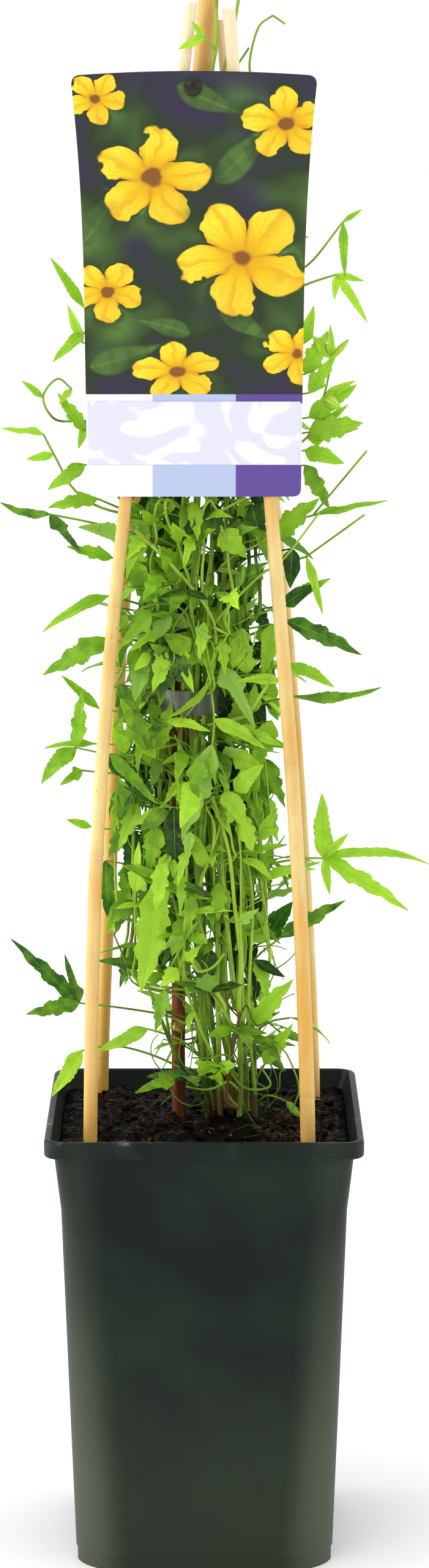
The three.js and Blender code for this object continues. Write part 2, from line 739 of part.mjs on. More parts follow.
function stemSolid(stem) {
  const top = STEM_TOPS[stem];
  const rings = [];
  for (let height = STEM_ROOT; height < top - STEM_TIP; height += STEM_STEP) {
    const p = stemPoint(stem, height);
    rings.push(levelRing(p.x, p.y, height, stemRadius(stem, height), STEM_SIDES));
  }
  rings.push(Array(STEM_SIDES).fill(stemPoint(stem, top)));
  return solidFrom(loft(rings));
}

function stemHole(stem) {
  const rings = [STEM_ROOT - 2 * GAP, STEM_ROOT + STEM_STEP].map((height) => {
    const p = stemPoint(stem, height);
    return levelRing(p.x, p.y, height, STEM_RADIUS.root + 2 * GAP, STEM_SIDES);
  });
  return solidFrom(loft(rings));
}

// The stem that stands furthest out towards a place, at a height where it still grows.
function outermostStem(height, place) {
  const [centreX, centreY] = alongHeight(BUNDLE, height);
  const toward = new THREE.Vector2(place.x - centreX, place.y - centreY).normalize();
  let best = 0;
  let furthest = -Infinity;
  for (let stem = 0; stem < STEM_COUNT; stem += 1) {
    if (STEM_TOPS[stem] < height + 2 * STEM_TIP) continue;
    const p = stemPoint(stem, height);
    const reach = (p.x - centreX) * toward.x + (p.y - centreY) * toward.y;
    if (reach > furthest) {
      furthest = reach;
      best = stem;
    }
  }
  return best;
}

// ---------------------------------------------------------------- placing the sprays

const placed = []; // every solid so far: { node, solid, low, high }

function place(node, solid) {
  const { min, max } = solid.boundingBox();
  placed.push({ node, solid, low: min, high: max });
}

// Clear of every other node by the gap, and crossing no more than `most` mm3 of its own.
function isClear(node, solid, most) {
  const { min, max } = solid.boundingBox();
  for (const other of placed) {
    const near = [0, 1, 2].every((i) => min[i] < other.high[i] + GAP && max[i] > other.low[i] - GAP);
    if (!near) continue;
    if (other.node !== node) {
      if (solid.minGap(other.solid, 2 * GAP) < GAP) return false;
    } else if (solid.intersect(other.solid).volume() > most) return false;
  }
  return true;
}

// Tries each form of a spray in turn and keeps the first whose stalk and blades are clear,
// apart from one side blade, which is then left out.
function placeSpray(node, forms) {
  for (const { main, sides } of forms) {
    if (!isClear(node, main, ROOT_VOLUME)) continue;
    const clear = sides.filter((solid) => isClear(node, solid, CROSSING_VOLUME));
    if (clear.length < sides.length - 1) continue;
    place(node, main);
    clear.forEach((solid) => place(node, solid));
    return true;
  }
  return false;
}

const point = ([x, y, z], shift = 0) => new THREE.Vector3(x, y + shift, z);

function handSpray({ root, way, blades }) {
  const stem = outermostStem(root, point(way[0]));
  const endBlade = blades.findIndex(([from]) => from === way.length - 1);
  const forms = HAND_SHIFTS.map((shift) => {
    const line = [stemPoint(stem, root), ...way.map((p) => point(p, shift))];
    const shapes = blades.map(([from, tip, width, outline, facing, arch]) => {
      const angle = (facing * Math.PI) / 180;
      const face = new THREE.Vector3(0, -Math.sin(angle), Math.cos(angle));
      return [line[from + 1], point(tip, shift), width, outline, face, arch];
    });
    return {
      main: stalkedBlade(line, ...shapes[endBlade].slice(1)),
      sides: shapes.filter((_, i) => i !== endBlade).map((shape) => bladeSolid(...shape)),
    };
  });
  return placeSpray(stemName(stem), forms);
}

let seed = FILL.seed;
function random() {
  seed = (seed * 1664525 + 1013904223) % 2 ** 32;
  return seed / 2 ** 32;
}

const draw = ([low, high]) => low + (high - low) * random();

// One spray of the fill: a stalk out of the stem that ends in a blade, with pairs at its sides.
function fillSpray(stem, height) {
  const swing = draw(FILL.swing);
  const rise = draw(FILL.rise);
  const stalk = draw(FILL.stalk);
  const length = draw(FILL.blade);
  const droop = draw(FILL.droop);
  const roll = draw(FILL.roll);
  const outline = FILL.outlines[Math.floor(random() * FILL.outlines.length)];
  const root = stemPoint(stem, height);
  const [centreX, centreY] = alongHeight(BUNDLE, height);
  const outward = Math.atan2(root.y - centreY, root.x - centreX);
  const forms = FILL_TURNS.map((turn) => {
    const angle = outward + swing + turn;
    const out = new THREE.Vector3(Math.cos(angle), Math.sin(angle), 0);
    const cross = new THREE.Vector3(-out.y, out.x, 0);
    const face = UP.clone().addScaledVector(out, FILL.lean).addScaledVector(cross, roll);
    const line = [0, FILL.pairAt, 1].map((share) =>
      root
        .clone()
        .addScaledVector(out, stalk * share)
        .addScaledVector(UP, stalk * rise * share * (2 - share)),
    );
    const onward = out.clone().addScaledVector(UP, droop).normalize();
    const tip = line[2].clone().addScaledVector(onward, length);
    const leaflet = length * FILL.pairShare;
    const tips = [1, -1].map((hand) =>
      line[1]
        .clone()
        .addScaledVector(out, leaflet * Math.cos(FILL.pairAngle))
        .addScaledVector(cross, hand * leaflet * Math.sin(FILL.pairAngle))
        .addScaledVector(UP, leaflet * droop * FILL.pairDroop),
    );
    return {
      main: stalkedBlade(line, tip, length * FILL.slim, outline, face, FILL.arch),
      sides: [leafletPair(line[1], tips, leaflet * FILL.slim, face)],
    };
  });
  return placeSpray(stemName(stem), forms);
}

function fillStem(stem) {
  let height = FILL.first + (stem % 4) * FILL.stagger;
  while (height < Math.min(STEM_TOPS[stem] - STEM_TIP, FILL.last)) {
    fillSpray(stem, height);
    height += draw(FILL.step);
  }
}

// ---------------------------------------------------------------- canes, ties and tag

function caneSolid(table, grow = 0) {
  const rings = [table[0][0], ...CANE_LEVELS, table[table.length - 1][0]].map((height) => {
    const [x, y, radius] = alongHeight(table, height);
    return levelRing(x, y, height, radius + grow, CANE_SIDES);
  });
  for (const point of rings[0]) point.z -= grow;
  return solidFrom(loft(rings));
}

function stakeSolid(grow = 0) {
  const rings = [STAKE.bottom - grow, STAKE.top].map((height) =>
    levelRing(STAKE.x, STAKE.y, height, STAKE.radius + grow, CANE_SIDES),
  );
  return solidFrom(loft(rings));
}

function tieSolid() {
  const circles = [{ x: STAKE.x, y: STAKE.y, radius: STAKE.radius }];
  for (const height of bandEdges(TIE)) {
    for (let stem = 0; stem < STEM_COUNT; stem += 1) {
      const { x, y } = stemPoint(stem, height);
      circles.push({ x, y, radius: stemRadius(stem, height) });
    }
  }
  const loop = strapLoop(circles, TIE.height, TIE.band, TIE.wall);
  const left = Math.min(...strapOutline(circles, GAP + TIE.wall).map((p) => p.x));
  const { length, thick, band, sunk, y } = TIE_TAIL;
  return loop.add(box(length, thick, band, left - length / 2 + sunk, y, TIE.height));
}

const tagLean = () => Math.asin((TAG.topDepth - TAG.bottomDepth) / TAG.length);

// Puts a shape drawn on the card in its leaning plane: x to the right of the card's middle, y up
// from its lower edge and z outwards from the middle of its thickness.
function leaning(geometry) {
  return geometry
    .translate(0, -TAG.length, 0)
    .rotateX(Math.PI / 2 - tagLean())
    .translate(TAG.middle, TAG.topDepth, TAG.top);
}

const studOnCard = () =>
  new THREE.Vector2(
    STUD.x - TAG.middle,
    TAG.length - (TAG.top - STRAP.height) / Math.cos(tagLean()),
  );

function strapSolid() {
  const circles = bandEdges(STRAP).flatMap((height) =>
    Object.values(CANES).map((table) => {
      const [x, y, radius] = alongHeight(table, height);
      return { x, y, radius };
    }),
  );
  const loop = strapLoop(circles, STRAP.height, STRAP.band, STRAP.wall);
  const front = Math.min(...strapOutline(circles, GAP).map((p) => p.y));
  const cardDepth = TAG.topDepth - (TAG.top - STRAP.height) * Math.tan(tagLean());
  const reach = front - cardDepth;
  const { x, y } = studOnCard();
  const face = TAG.thick / 2 + GAP;
  const end = face + STUD.sunk;
  const shank = new THREE.CylinderGeometry(STUD.shank, STUD.shank, reach + end, STUD.shankSides)
    .rotateX(Math.PI / 2)
    .translate(x, y, (end - reach) / 2);
  const dome = STUD_DOME.map(([out, up]) =>
    levelRing(x, y, face + STUD.headHeight * up, STUD.head * out, STUD_SIDES),
  );
  dome.push(Array(STUD_SIDES).fill(new THREE.Vector3(x, y, face + STUD.headHeight)));
  const stud = [solidFromPrimitive(leaning(shank)), solidFrom(leaning(loft(dome)))];
  return wasm.Manifold.union([loop, ...stud]);
}

// The card's outline, with v downwards from its top edge.
function tagShape() {
  const t = TAG;
  const shape = new THREE.Shape();
  const v = (down) => t.length - down;
  shape.moveTo(-t.halfBottom + t.corner, 0);
  shape.lineTo(t.halfBottom - t.corner, 0);
  shape.quadraticCurveTo(t.halfBottom, 0, t.halfBottom, t.corner);
  shape.lineTo(t.halfWaist, v(t.waist));
  shape.quadraticCurveTo(t.halfWaist + t.swell, v(t.waist / 2), t.halfTop, v(t.rise + t.corner));
  shape.quadraticCurveTo(t.halfTop, v(t.rise), t.halfTop - t.corner, v(t.shoulder));
  shape.quadraticCurveTo(0, v(-t.crown), -t.halfTop + t.corner, v(t.shoulder));
  shape.quadraticCurveTo(-t.halfTop, v(t.rise), -t.halfTop, v(t.rise + t.corner));
  shape.quadraticCurveTo(-t.halfWaist - t.swell, v(t.waist / 2), -t.halfWaist, v(t.waist));
  shape.lineTo(-t.halfBottom, t.corner);
  shape.quadraticCurveTo(-t.halfBottom, 0, -t.halfBottom + t.corner, 0);
  const hole = new THREE.Path();
  hole.absarc(studOnCard().x, studOnCard().y, t.hole, 0, 2 * Math.PI, true);
  shape.holes.push(hole);
  return shape;
}

function labelShape() {
  const halfAt = (down) => {
    const share = (down - TAG.waist) / (TAG.length - TAG.waist);
    return TAG.halfWaist + (TAG.halfBottom - TAG.halfWaist) * share - LABEL.inset;
  };
  const [top, bottom] = [LABEL.top, LABEL.bottom];
  const shape = new THREE.Shape();
  shape.moveTo(-halfAt(bottom), TAG.length - bottom);
  shape.lineTo(halfAt(bottom), TAG.length - bottom);
  shape.lineTo(halfAt(top), TAG.length - top);
  shape.lineTo(-halfAt(top), TAG.length - top);
  return shape;
}

// A flat sheet in the card's leaning plane, its back `off` in front of the card's middle.
function sheetSolid(shape, thick, off) {
  const sheet = new THREE.ExtrudeGeometry(shape, {
    depth: thick,
    bevelEnabled: false,
    curveSegments: TAG.curveSteps,
  });
  return solidFromPrimitive(leaning(sheet.translate(0, 0, off)));
}

// ---------------------------------------------------------------- the object

const clematis = new THREE.Group();
const stemName = (stem) => `stem_${String(stem + 1).padStart(2, '0')}`;

function addPiece(name, geometry, colour, roughness) {
  const material = new THREE.MeshStandardMaterial({ color: colour, roughness, metalness: 0 });
  const mesh = new THREE.Mesh(geometry, material);
  mesh.name = name;
  clematis.add(mesh);
}

const stems = Array.from({ length: STEM_COUNT }, (_, stem) => stemSolid(stem));
const holes = [
  ...Object.values(CANES).map((table) => caneSolid(table, GAP)),
  stakeSolid(GAP),
  ...stems.map((_, stem) => stemHole(stem)),
];
const card = sheetSolid(tagShape(), TAG.thick, -TAG.thick / 2);
const label = sheetSolid(labelShape(), LABEL.thick, TAG.thick / 2 + GAP / 2);
const hardware = {
  pot: [potSolid(), COLOURS.pot, 0.5],
  soil: [soilSolid(holes), COLOURS.soil, 0.95],
  cane_front_left: [caneSolid(CANES.cane_front_left), COLOURS.cane, 0.6],
  cane_front_right: [caneSolid(CANES.cane_front_right), COLOURS.cane, 0.6],
  cane_back_left: [caneSolid(CANES.cane_back_left), COLOURS.caneTop, 0.6],
  cane_back_right: [caneSolid(CANES.cane_back_right), COLOURS.cane, 0.6],
  stake: [stakeSolid(), COLOURS.stake, 0.8],
  stem_tie: [tieSolid(), COLOURS.tie, 0.4],
  cane_strap: [strapSolid(), COLOURS.strap, 0.45],
  tag_card: [card, COLOURS.card, 0.35],
  tag_label: [label, COLOURS.label, 0.5],
};
for (const [name, [solid, colour, roughness]] of Object.entries(hardware)) {
  addPiece(name, geometryOf(solid), colour, roughness);
  place(name, solid);
}

stems.forEach((solid, stem) => place(stemName(stem), solid));
HAND_SPRAYS.forEach((each) => handSpray(each));
stems.forEach((_, stem) => fillStem(stem));
stems.forEach((_, stem) => {
  const name = stemName(stem);
  const pieces = placed.filter((each) => each.node === name).map((each) => each.solid);
  const bodies = wasm.Manifold.union(pieces).decompose();
  bodies.sort((a, b) => b.volume() - a.volume());
  addPiece(name, geometryOf(bodies[0].simplify(SMOOTHING)), COLOURS.leaf, 0.55);
});

export default clematis;
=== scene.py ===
"""A young clematis on four bamboo canes in a deep square container, with its picture tag.

The packed model is the frame, and this script dresses it. Everything is in metres with +Z up, the
card facing -Y and the origin under the middle of the container. Tables that are easier to read in
millimetres say so, and MM brings them to metres.
"""

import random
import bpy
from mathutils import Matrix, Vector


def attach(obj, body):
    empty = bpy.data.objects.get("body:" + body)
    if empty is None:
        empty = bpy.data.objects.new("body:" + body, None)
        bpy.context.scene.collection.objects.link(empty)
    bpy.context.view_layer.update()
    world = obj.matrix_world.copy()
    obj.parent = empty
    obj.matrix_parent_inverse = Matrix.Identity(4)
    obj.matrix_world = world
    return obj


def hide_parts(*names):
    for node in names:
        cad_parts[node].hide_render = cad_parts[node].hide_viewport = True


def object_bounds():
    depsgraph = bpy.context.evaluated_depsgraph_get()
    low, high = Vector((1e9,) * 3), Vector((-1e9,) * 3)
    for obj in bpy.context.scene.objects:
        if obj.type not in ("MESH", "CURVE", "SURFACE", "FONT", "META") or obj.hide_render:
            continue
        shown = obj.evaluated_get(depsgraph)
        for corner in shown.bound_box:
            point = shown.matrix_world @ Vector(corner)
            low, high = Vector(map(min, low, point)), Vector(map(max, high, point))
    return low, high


bl_info = {
    "name": "Clematis on bamboo canes",
    "version": (1, 0, 0),
    "blender": (4, 5, 0),
    "location": "View3D > Sidebar > Clematis",
    "description": "Models and finishes a climbing clematis with its canes, tag, soil and pot",
    "category": "Add Mesh",
}

from functools import partialmethod
from math import asin, atan2, copysign, cos, dist, exp, hypot, inf, pi, radians, sin, sqrt, tan, tau

import bmesh
import bpy
import numpy as np
from bpy.props import FloatProperty, FloatVectorProperty, IntProperty, PointerProperty
from bpy.types import Operator, Panel, PropertyGroup
from mathutils import Euler, Vector, noise
from mathutils.kdtree import KDTree

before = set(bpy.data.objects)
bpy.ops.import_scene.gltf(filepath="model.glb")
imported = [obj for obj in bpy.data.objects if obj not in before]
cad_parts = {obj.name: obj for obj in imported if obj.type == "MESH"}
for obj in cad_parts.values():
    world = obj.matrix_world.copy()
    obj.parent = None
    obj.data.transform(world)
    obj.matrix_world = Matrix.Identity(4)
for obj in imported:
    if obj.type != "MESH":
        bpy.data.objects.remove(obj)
CAD_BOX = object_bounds()
MM = 0.001
UP = np.array([0.0, 0.0, 1.0])

# ---- shapes shared with the model

GAP = 0.3  # millimetres between neighbouring pieces
DRILL_DEPTH = 0.02  # metres, more than any wall is thick

# Each cane is a list of [height, x, y, radius] that it passes through, in millimetres.
CANES = {
    "cane_front_left": (
        (18, -57, -48, 3.6), (216, -56, -47, 3.45), (363, -52, -46, 3.3),
        (519, -39, -35, 3.1), (735, -9.5, -11.5, 2.9), (766, -5.9, -8.5, 2.9)),
    "cane_front_right": (
        (18, 51.5, -51, 3.8), (216, 51, -50, 3.7), (363, 45, -47, 3.5),
        (519, 33, -35.5, 3.3), (735, 14, -10.5, 3.1), (763, 12, -8, 3.1)),
    "cane_back_left": (
        (18, -53.5, 57, 3.4), (216, -53, 56, 3.35), (356, -47, 50, 3.6),
        (500, -38, 36, 3.9), (738, 0, 6, 4.8), (768, 2.3, 4, 4.8)),
    "cane_back_right": (
        (18, 57, 41, 3.3), (216, 56, 40, 3.2), (358, 49, 37, 3.15),
        (490, 38, 29, 3.1), (735, 10, 11, 3), (758, 8.7, 8.5, 3)),
}
# Heights of the knots on each cane, in millimetres.
CANE_KNOTS = {
    "cane_front_left": (196, 357, 478, 640),
    "cane_front_right": (238, 402, 561, 700),
    "cane_back_left": (232, 372, 540, 690),
    "cane_back_right": (301, 452, 610),
}

STEM_COUNT = 14
STEM_TOPS = (785, 783, 560, 690, 600, 520, 660, 580, 700, 540, 640, 500, 615, 470)
STEM_ROOT = 192
STEM_STEP = 38
STEM_TIP = 9
GOLDEN_ANGLE = 2.39996
# The stems fill a disc: [height, centre x, centre y, radius, turn], in millimetres and radians.
BUNDLE = (
    (190, 12, 2, 12.5, 0), (216, 12, 2, 13.5, 0), (290, 5, 0, 18, 0.5), (350, 1, -1, 20, 0.9),
    (428, -6.5, 0, 14, 1.5), (500, -3, -2, 19, 2), (600, 0, -3, 15, 2.8), (726, 5, -3, 8, 3.88),
    (766, 10, -4, 22, 3.88), (800, 11, -4, 25, 3.9),
)
STEM_RADII = (1.7, 0.95)  # at the root and at the top
STAKE = (-13, 0, 3.5)  # x, y and radius
STAKE_ENDS = (40, 446)
STAKE_ROOM = 6.6  # stems keep this far from the stake, up to the first of these heights
STAKE_ROOM_ENDS = (448, 500)

# Blade outlines: [share of the length, left half, right half], as shares of the half width.
OUTLINES = {
    "plain": ((0.36, 1, 0.92), (0.7, 0.62, 0.66)),
    "lance": ((0.24, 0.86, 1), (0.5, 1, 0.8), (0.76, 0.5, 0.56)),
    "lobed": ((0.24, 0.7, 1), (0.34, 1, 0.52), (0.46, 0.5, 0.48), (0.72, 0.42, 0.36)),
    "toothed": ((0.2, 0.8, 0.62), (0.3, 0.64, 1), (0.42, 1, 0.7), (0.54, 0.64, 0.86),
                (0.68, 0.7, 0.42), (0.82, 0.3, 0.38)),
    "saw": ((0.16, 0.6, 0.5), (0.25, 0.56, 0.88), (0.35, 1, 0.74), (0.45, 0.78, 1),
            (0.55, 0.96, 0.7), (0.64, 0.62, 0.82), (0.75, 0.62, 0.42), (0.87, 0.24, 0.32)),
    "broad": ((0.12, 0.6, 0.55), (0.22, 0.8, 1), (0.3, 1, 0.74), (0.42, 0.66, 0.92),
              (0.5, 0.82, 0.56), (0.62, 0.42, 0.58), (0.72, 0.46, 0.3), (0.86, 0.16, 0.2)),
    "three_lobed": ((0.14, 0.5, 0.45), (0.28, 0.84, 1), (0.33, 1, 0.62), (0.42, 0.5, 0.5),
                    (0.56, 0.56, 0.64), (0.66, 0.36, 0.4), (0.84, 0.16, 0.2)),
}

# Sprays placed one by one, in millimetres: root height, points of the stalk, and blades of [point of
# the stalk, tip's x, y and z, width, outline, facing, arch]. Facing 0 looks up and 90 to the front.
HAND_SPRAYS = (
    (466, [(1, -20, 457), (3, -24, 440), (5, -29, 422), (4, -31, 410)], [
        (3, -11, -33, 363, 15.5, "toothed", 78, 3), (1, -18, -30, 423, 6, "plain", 25, -4),
        (2, 30, -32, 408, 8, "lance", 60, 3)]),
    (468, [(8, -22, 456), (9, -25, 448)], [(1, 25, -31, 418, 13, "lobed", 75, 2)]),
    (478, [(-14, -21, 468), (-16, -25, 460)], [(1, -25, -33, 436, 12, "toothed", 75, 2),
        (1, -5, -33, 436, 12, "lobed", 75, 2)]),
    (392, [(-24, -18, 403)], [(0, -41, -26, 432, 9, "toothed", 80, 0)]),
    (400, [(27, -18, 409)], [(0, 38, -24, 410, 6, "plain", 40, 0)]),
    (392, [(-34, -15, 400), (-46, -22, 404)], [(1, -23, -28, 380, 7, "lance", 60, 0)]),
    (384, [(16, -24, 392)], [(0, 29, -28, 399, 8, "lobed", 60, 0)]),
    (344, [(20, -18, 354), (27, -22, 362)], [(0, 41, -24, 359, 7, "lobed", 60, 1),
        (1, 35, -26, 367, 6, "plain", 60, 0), (1, 36, -22, 377, 6, "plain", 60, 0)]),
    (360, [(-32, -20, 369)], [(0, -20, -26, 379, 6, "plain", 60, 0)]),
    (442, [(14, -20, 446)], [(0, 18, -28, 466, 12, "toothed", 85, 2)]),
    (440, [(30, -14, 442), (37, -24, 440)], [(1, 16, -31, 441, 7, "lance", 50, 2)]),
    (350, [(-21, -25, 345)], [(0, -31, -36, 287, 19, "saw", 80, -4)]),
    (340, [(-28, -18, 347), (-40, -25, 349)], [(1, 3, -30, 333, 6, "plain", 30, -2)]),
    (316, [(-13, -24, 324)], [(0, 14, -30, 327, 6, "lance", 35, 1)]),
    (488, [(-34, -16, 499)], [(0, -26, -26, 513, 11, "lobed", 75, 1),
        (0, -22, -27, 477, 7, "lance", 70, 1)]),
    (252, [(24, -12, 266)], [(0, 44, -22, 291, 12, "toothed", 70, 2)]),
    (234, [(30, -10, 245)], [(0, 44, -20, 268, 10, "toothed", 70, 1)]),
    (282, [(25, -5, 297), (38, -7, 309)], [(1, 70, -8, 328, 10, "toothed", 65, 2),
        (0, 40, -12, 290, 6, "plain", 60, 0)]),
    (286, [(-26, -14, 296)], [(0, -53, -16, 299, 7, "lance", 55, 1)]),
    (248, [(-12, -12, 258), (-28, -14, 264)], [(1, -53, -16, 253, 8, "lance", 60, 1)]),
    (262, [(-18, -12, 270), (-40, -16, 275), (-62, -22, 279)], [(2, -95, -30, 313, 9, "toothed", 72, 1),
        (2, -69, -20, 303, 8, "lobed", 72, 0), (2, -88, -30, 275, 10, "toothed", 72, 2)]),
    (236, [(-24, -6, 248), (-45, -8, 254), (-61, -10, 252)], [(2, -76, -16, 230, 9, "lance", 75, 3)]),
    (222, [(32, -14, 230), (41, -18, 228)], [(1, 48, -20, 220, 4, "bud", 0, 0)]),
    (338, [(34, -6, 346), (50, -8, 349), (59, -12, 350)], [(2, 58, -14, 383, 10, "lance", 85, 1),
        (2, 111, -18, 348, 7, "lance", 45, 7), (2, 71, -16, 363, 5, "plain", 60, 0),
        (2, 101, -20, 325, 10, "toothed", 65, 3), (2, 62, -18, 333, 5, "plain", 70, 0)]),
    (464, [(32, -8, 473), (39, -8, 476)], [(1, 62, -10, 489, 7, "lance", 60, 1)]),
    (454, [(30, -10, 464), (40, -10, 468)], [(1, 77, -16, 452, 11, "toothed", 65, 3)]),
    (436, [(30, -6, 444), (42, -6, 446)], [(1, 64, -10, 435, 7, "lance", 60, 2)]),
    (416, [(28, -5, 426), (43, -6, 430)], [(1, 87, -10, 435, 6, "plain", 50, -5)]),
    (484, [(36, -11, 495), (50, -13, 500)], [(1, 58, -15, 472, 5, "plain", 70, 1),
        (1, 78, -18, 521, 1.2, "twig", 60, 0)]),
    (498, [(33, -14, 509)], [(0, 56, -18, 529, 13, "toothed", 72, 2)]),
    (506, [(38, -10, 516), (53, -12, 520)], [(1, 79, -17, 552, 1.2, "twig", 60, 0),
        (1, 89, -18, 528, 5, "plain", 50, 1)]),
    (538, [(34, -8, 550), (50, -12, 558), (58, -15, 578), (62, -16, 597)], [
        (1, 75, -18, 563, 11, "lobed", 70, 2), (1, 70, -12, 574, 6, "plain", 70, 0),
        (2, 73, -18, 586, 5, "plain", 70, 0), (2, 66, -20, 573, 6, "bud", 0, 0),
        (3, 61, -18, 613, 6, "lobed", 70, 1), (3, 70, -17, 606, 3, "bud", 0, 0),
        (3, 52, -18, 608, 6, "lance", 70, 0)]),
    (626, [(34, -5, 636), (50, -8, 641), (67, -12, 662)], [(2, 68, -15, 636, 5, "plain", 70, -4),
        (2, 76, -13, 668, 3, "plain", 60, 0)]),
    (616, [(34, -8, 626), (52, -12, 633), (64, -14, 637)], [(2, 77, -16, 634, 4, "plain", 60, 0),
        (2, 79, -16, 614, 5, "plain", 70, 1), (2, 63, -15, 625, 4, "plain", 70, 0)]),
    (604, [(-30, -6, 612), (-58, -13, 621)], [(1, -74, -16, 645, 6, "plain", 65, 1)]),
    (596, [(-34, -9, 604), (-58, -13, 609)], [(1, -73, -16, 595, 6, "lance", 60, 1)]),
    (552, [(-40, -9, 562), (-57, -12, 566), (-72, -15, 567), (-78, -17, 578), (-71, -18, 587),
           (-64, -18, 582)], [
        (1, -61, -15, 553, 5, "plain", 60, 0), (3, -88, -19, 586, 4, "plain", 60, 0),
        (5, -70, -21, 575, 4, "plain", 60, 1)]),
    (516, [(-46, -8, 522), (-63, -10, 532), (-73, -14, 550), (-78, -16, 560)], [
        (3, -98, -18, 563, 5, "lance", 40, 1), (2, -86, -17, 548, 5, "plain", 60, 0)]),
    (512, [(-38, -9, 522), (-52, -10, 528)], [(1, -76, -14, 524, 9, "toothed", 65, 2)]),
    (504, [(-34, -10, 511), (-56, -14, 517), (-75, -16, 521)], [(2, -99, -18, 527, 6, "lance", 40, -3),
        (2, -60, -20, 503, 8, "lobed", 75, -3)]),
    (486, [(-32, -9, 495), (-45, -10, 499)], [(1, -67, -14, 505, 8, "toothed", 65, 1)]),
    (466, [(-30, -7, 475), (-47, -8, 480)], [(1, -79, -14, 463, 7, "lance", 55, 4)]),
    (446, [(-30, -8, 454), (-47, -9, 459)], [(1, -79, -16, 442, 14, "toothed", 65, 3)]),
    (412, [(-34, -5, 420), (-52, -6, 424)], [(1, -70, -10, 441, 6, "plain", 60, 0)]),
    (390, [(-34, -8, 398), (-63, -10, 405)], [(1, -60, -14, 434, 9, "toothed", 82, 0),
        (1, -80, -16, 388, 10, "plain", 60, 6)]),
    (394, [(-36, -2, 404), (-54, -4, 406)], [(1, -79, -6, 404, 5, "plain", 40, 1)]),
    (380, [(-34, -8, 390), (-60, -12, 394)], [(1, -71, -14, 387, 8, "lobed", 70, 1)]),
    (352, [(-34, -6, 361), (-56, -8, 365)], [(1, -68, -10, 369, 5, "plain", 60, 0)]),
    (698, [(20, -4, 711), (23, -5, 726), (22, -5, 738), (26, -6, 754), (33, -6, 760)], [
        (4, 39, -6, 756, 1.2, "twig", 60, 0)]),
    (744, [(0, -15, 750)], [(0, -12, -18, 744, 5, "lance", 70, 0), (0, -6, -18, 757, 4, "plain", 70, 0)]),
)
# Tones of some of them, by root height: 1 is the youngest leaf, about 0.14 the oldest, and tones nearer 0
# turn towards painted shade.
SPRAY_TONES = {
    222: 0.7, 234: 0.75, 236: 0.75, 252: 0.65, 262: 0.2, 282: 0.12, 286: 0.3, 338: 0.78, 350: 0.62,
    390: 0.42, 416: 0.25, 446: 0.5, 454: 0.22, 466: 0.6, 512: 0.45, 538: 0.8, 552: 0.7, 616: 0.75,
}
HAND_SHIFTS = (0, -2.5, 2.5, -5, 5, -7.5, 7.5, 10, -10)

# The rule for the sprays that fill the column: each one's swing, rise, stalk, blade, droop and roll
# are drawn between the pairs of its draws.
FILL = {
    "seed": 11, "first": 240, "last": 700, "stagger": 14, "step": (64, 90),
    "draws": ((-0.8, 0.8), (-0.45, 0.65), (12, 26), (19, 34), (-0.7, 0.6), (-0.8, 0.8)),
    "lean": 0.7, "slim": 0.36, "arch": 2, "pair_share": 0.66, "pair_angle": 0.9, "pair_droop": 0.6,
    "outlines": ("toothed", "lance", "lobed", "lance"),
}
FILL_TURNS = (0, 0.6, -0.6, 1.2, -1.2, 1.9, -1.9, 2.6)


def along_height(table, height):
    """A smooth value between the rows of a table whose first column is the height."""
    row = 0
    while row < len(table) - 2 and height > table[row + 1][0]:
        row += 1
    a, b = table[row], table[row + 1]
    before, after = table[max(row - 1, 0)], table[min(row + 2, len(table) - 1)]
    span = b[0] - a[0]
    t = (height - a[0]) / span
    values = []
    for i in range(1, len(a)):
        rise = b[i] - a[i]
        slope_a = (b[i] - before[i]) / (b[0] - before[0]) * span
        slope_b = (after[i] - a[i]) / (after[0] - a[0]) * span
        turn, ease = 3 * rise - 2 * slope_a - slope_b, slope_a + slope_b - 2 * rise
        values.append(a[i] + t * (slope_a + t * (turn + t * ease)))
    return values


def stem_place(stem, height):
    """Where a stem's middle lies at one of the levels that all stems share."""
    x, y, reach, turn = along_height(BUNDLE, height)
    angle = stem * GOLDEN_ANGLE + turn
    radius = reach * sqrt((stem + 0.5) / STEM_COUNT)
    off = np.array([x + radius * cos(angle), y + radius * sin(angle)]) - STAKE[:2]
    full, none = STAKE_ROOM_ENDS
    room = STAKE_ROOM * min(max((none - height) / (none - full), 0), 1)
    away = hypot(*off)
    return np.array([*(STAKE[:2] + off * hypot(away, room) / away), height])


def stem_point(stem, height):
    """A stem's middle at any height, straight between the levels, in millimetres."""
    level = (height - STEM_ROOT) // STEM_STEP * STEM_STEP + STEM_ROOT
    low, high = stem_place(stem, level), stem_place(stem, level + STEM_STEP)
    return low + (high - low) * (height - level) / STEM_STEP


def outermost_stem(height, place):
    """The stem that stands furthest out towards a place, at a height where it still grows."""
    centre = np.array(along_height(BUNDLE, height)[:2])
    toward = np.array(place[:2]) - centre
    growing = [stem for stem in range(STEM_COUNT) if STEM_TOPS[stem] >= height + 2 * STEM_TIP]
    return max(growing, key=lambda stem: (stem_point(stem, height)[:2] - centre) @ toward)


# ---- small tools


class Draws(random.Random):
    """Seeded random draws; a call draws a value between two others."""

    __call__ = random.Random.uniform


def unit(vector):
    """The vector at length one."""
    return vector / max(np.linalg.norm(vector), 1e-12)


def only(piece):
    """Makes one object the selected and active one."""
    bpy.ops.object.select_all(action="DESELECT")
    piece.select_set(True)
    bpy.context.view_layer.objects.active = piece


def apply_modifiers(piece):
    """Turns every modifier of a piece into mesh."""
    only(piece)
    for modifier in list(piece.modifiers):
        bpy.ops.object.modifier_apply(modifier=modifier.name)


def joined(piece, *others):
    """Joins other pieces to the first."""
    only(piece)
    for other in others:
        other.select_set(True)
    bpy.ops.object.join()


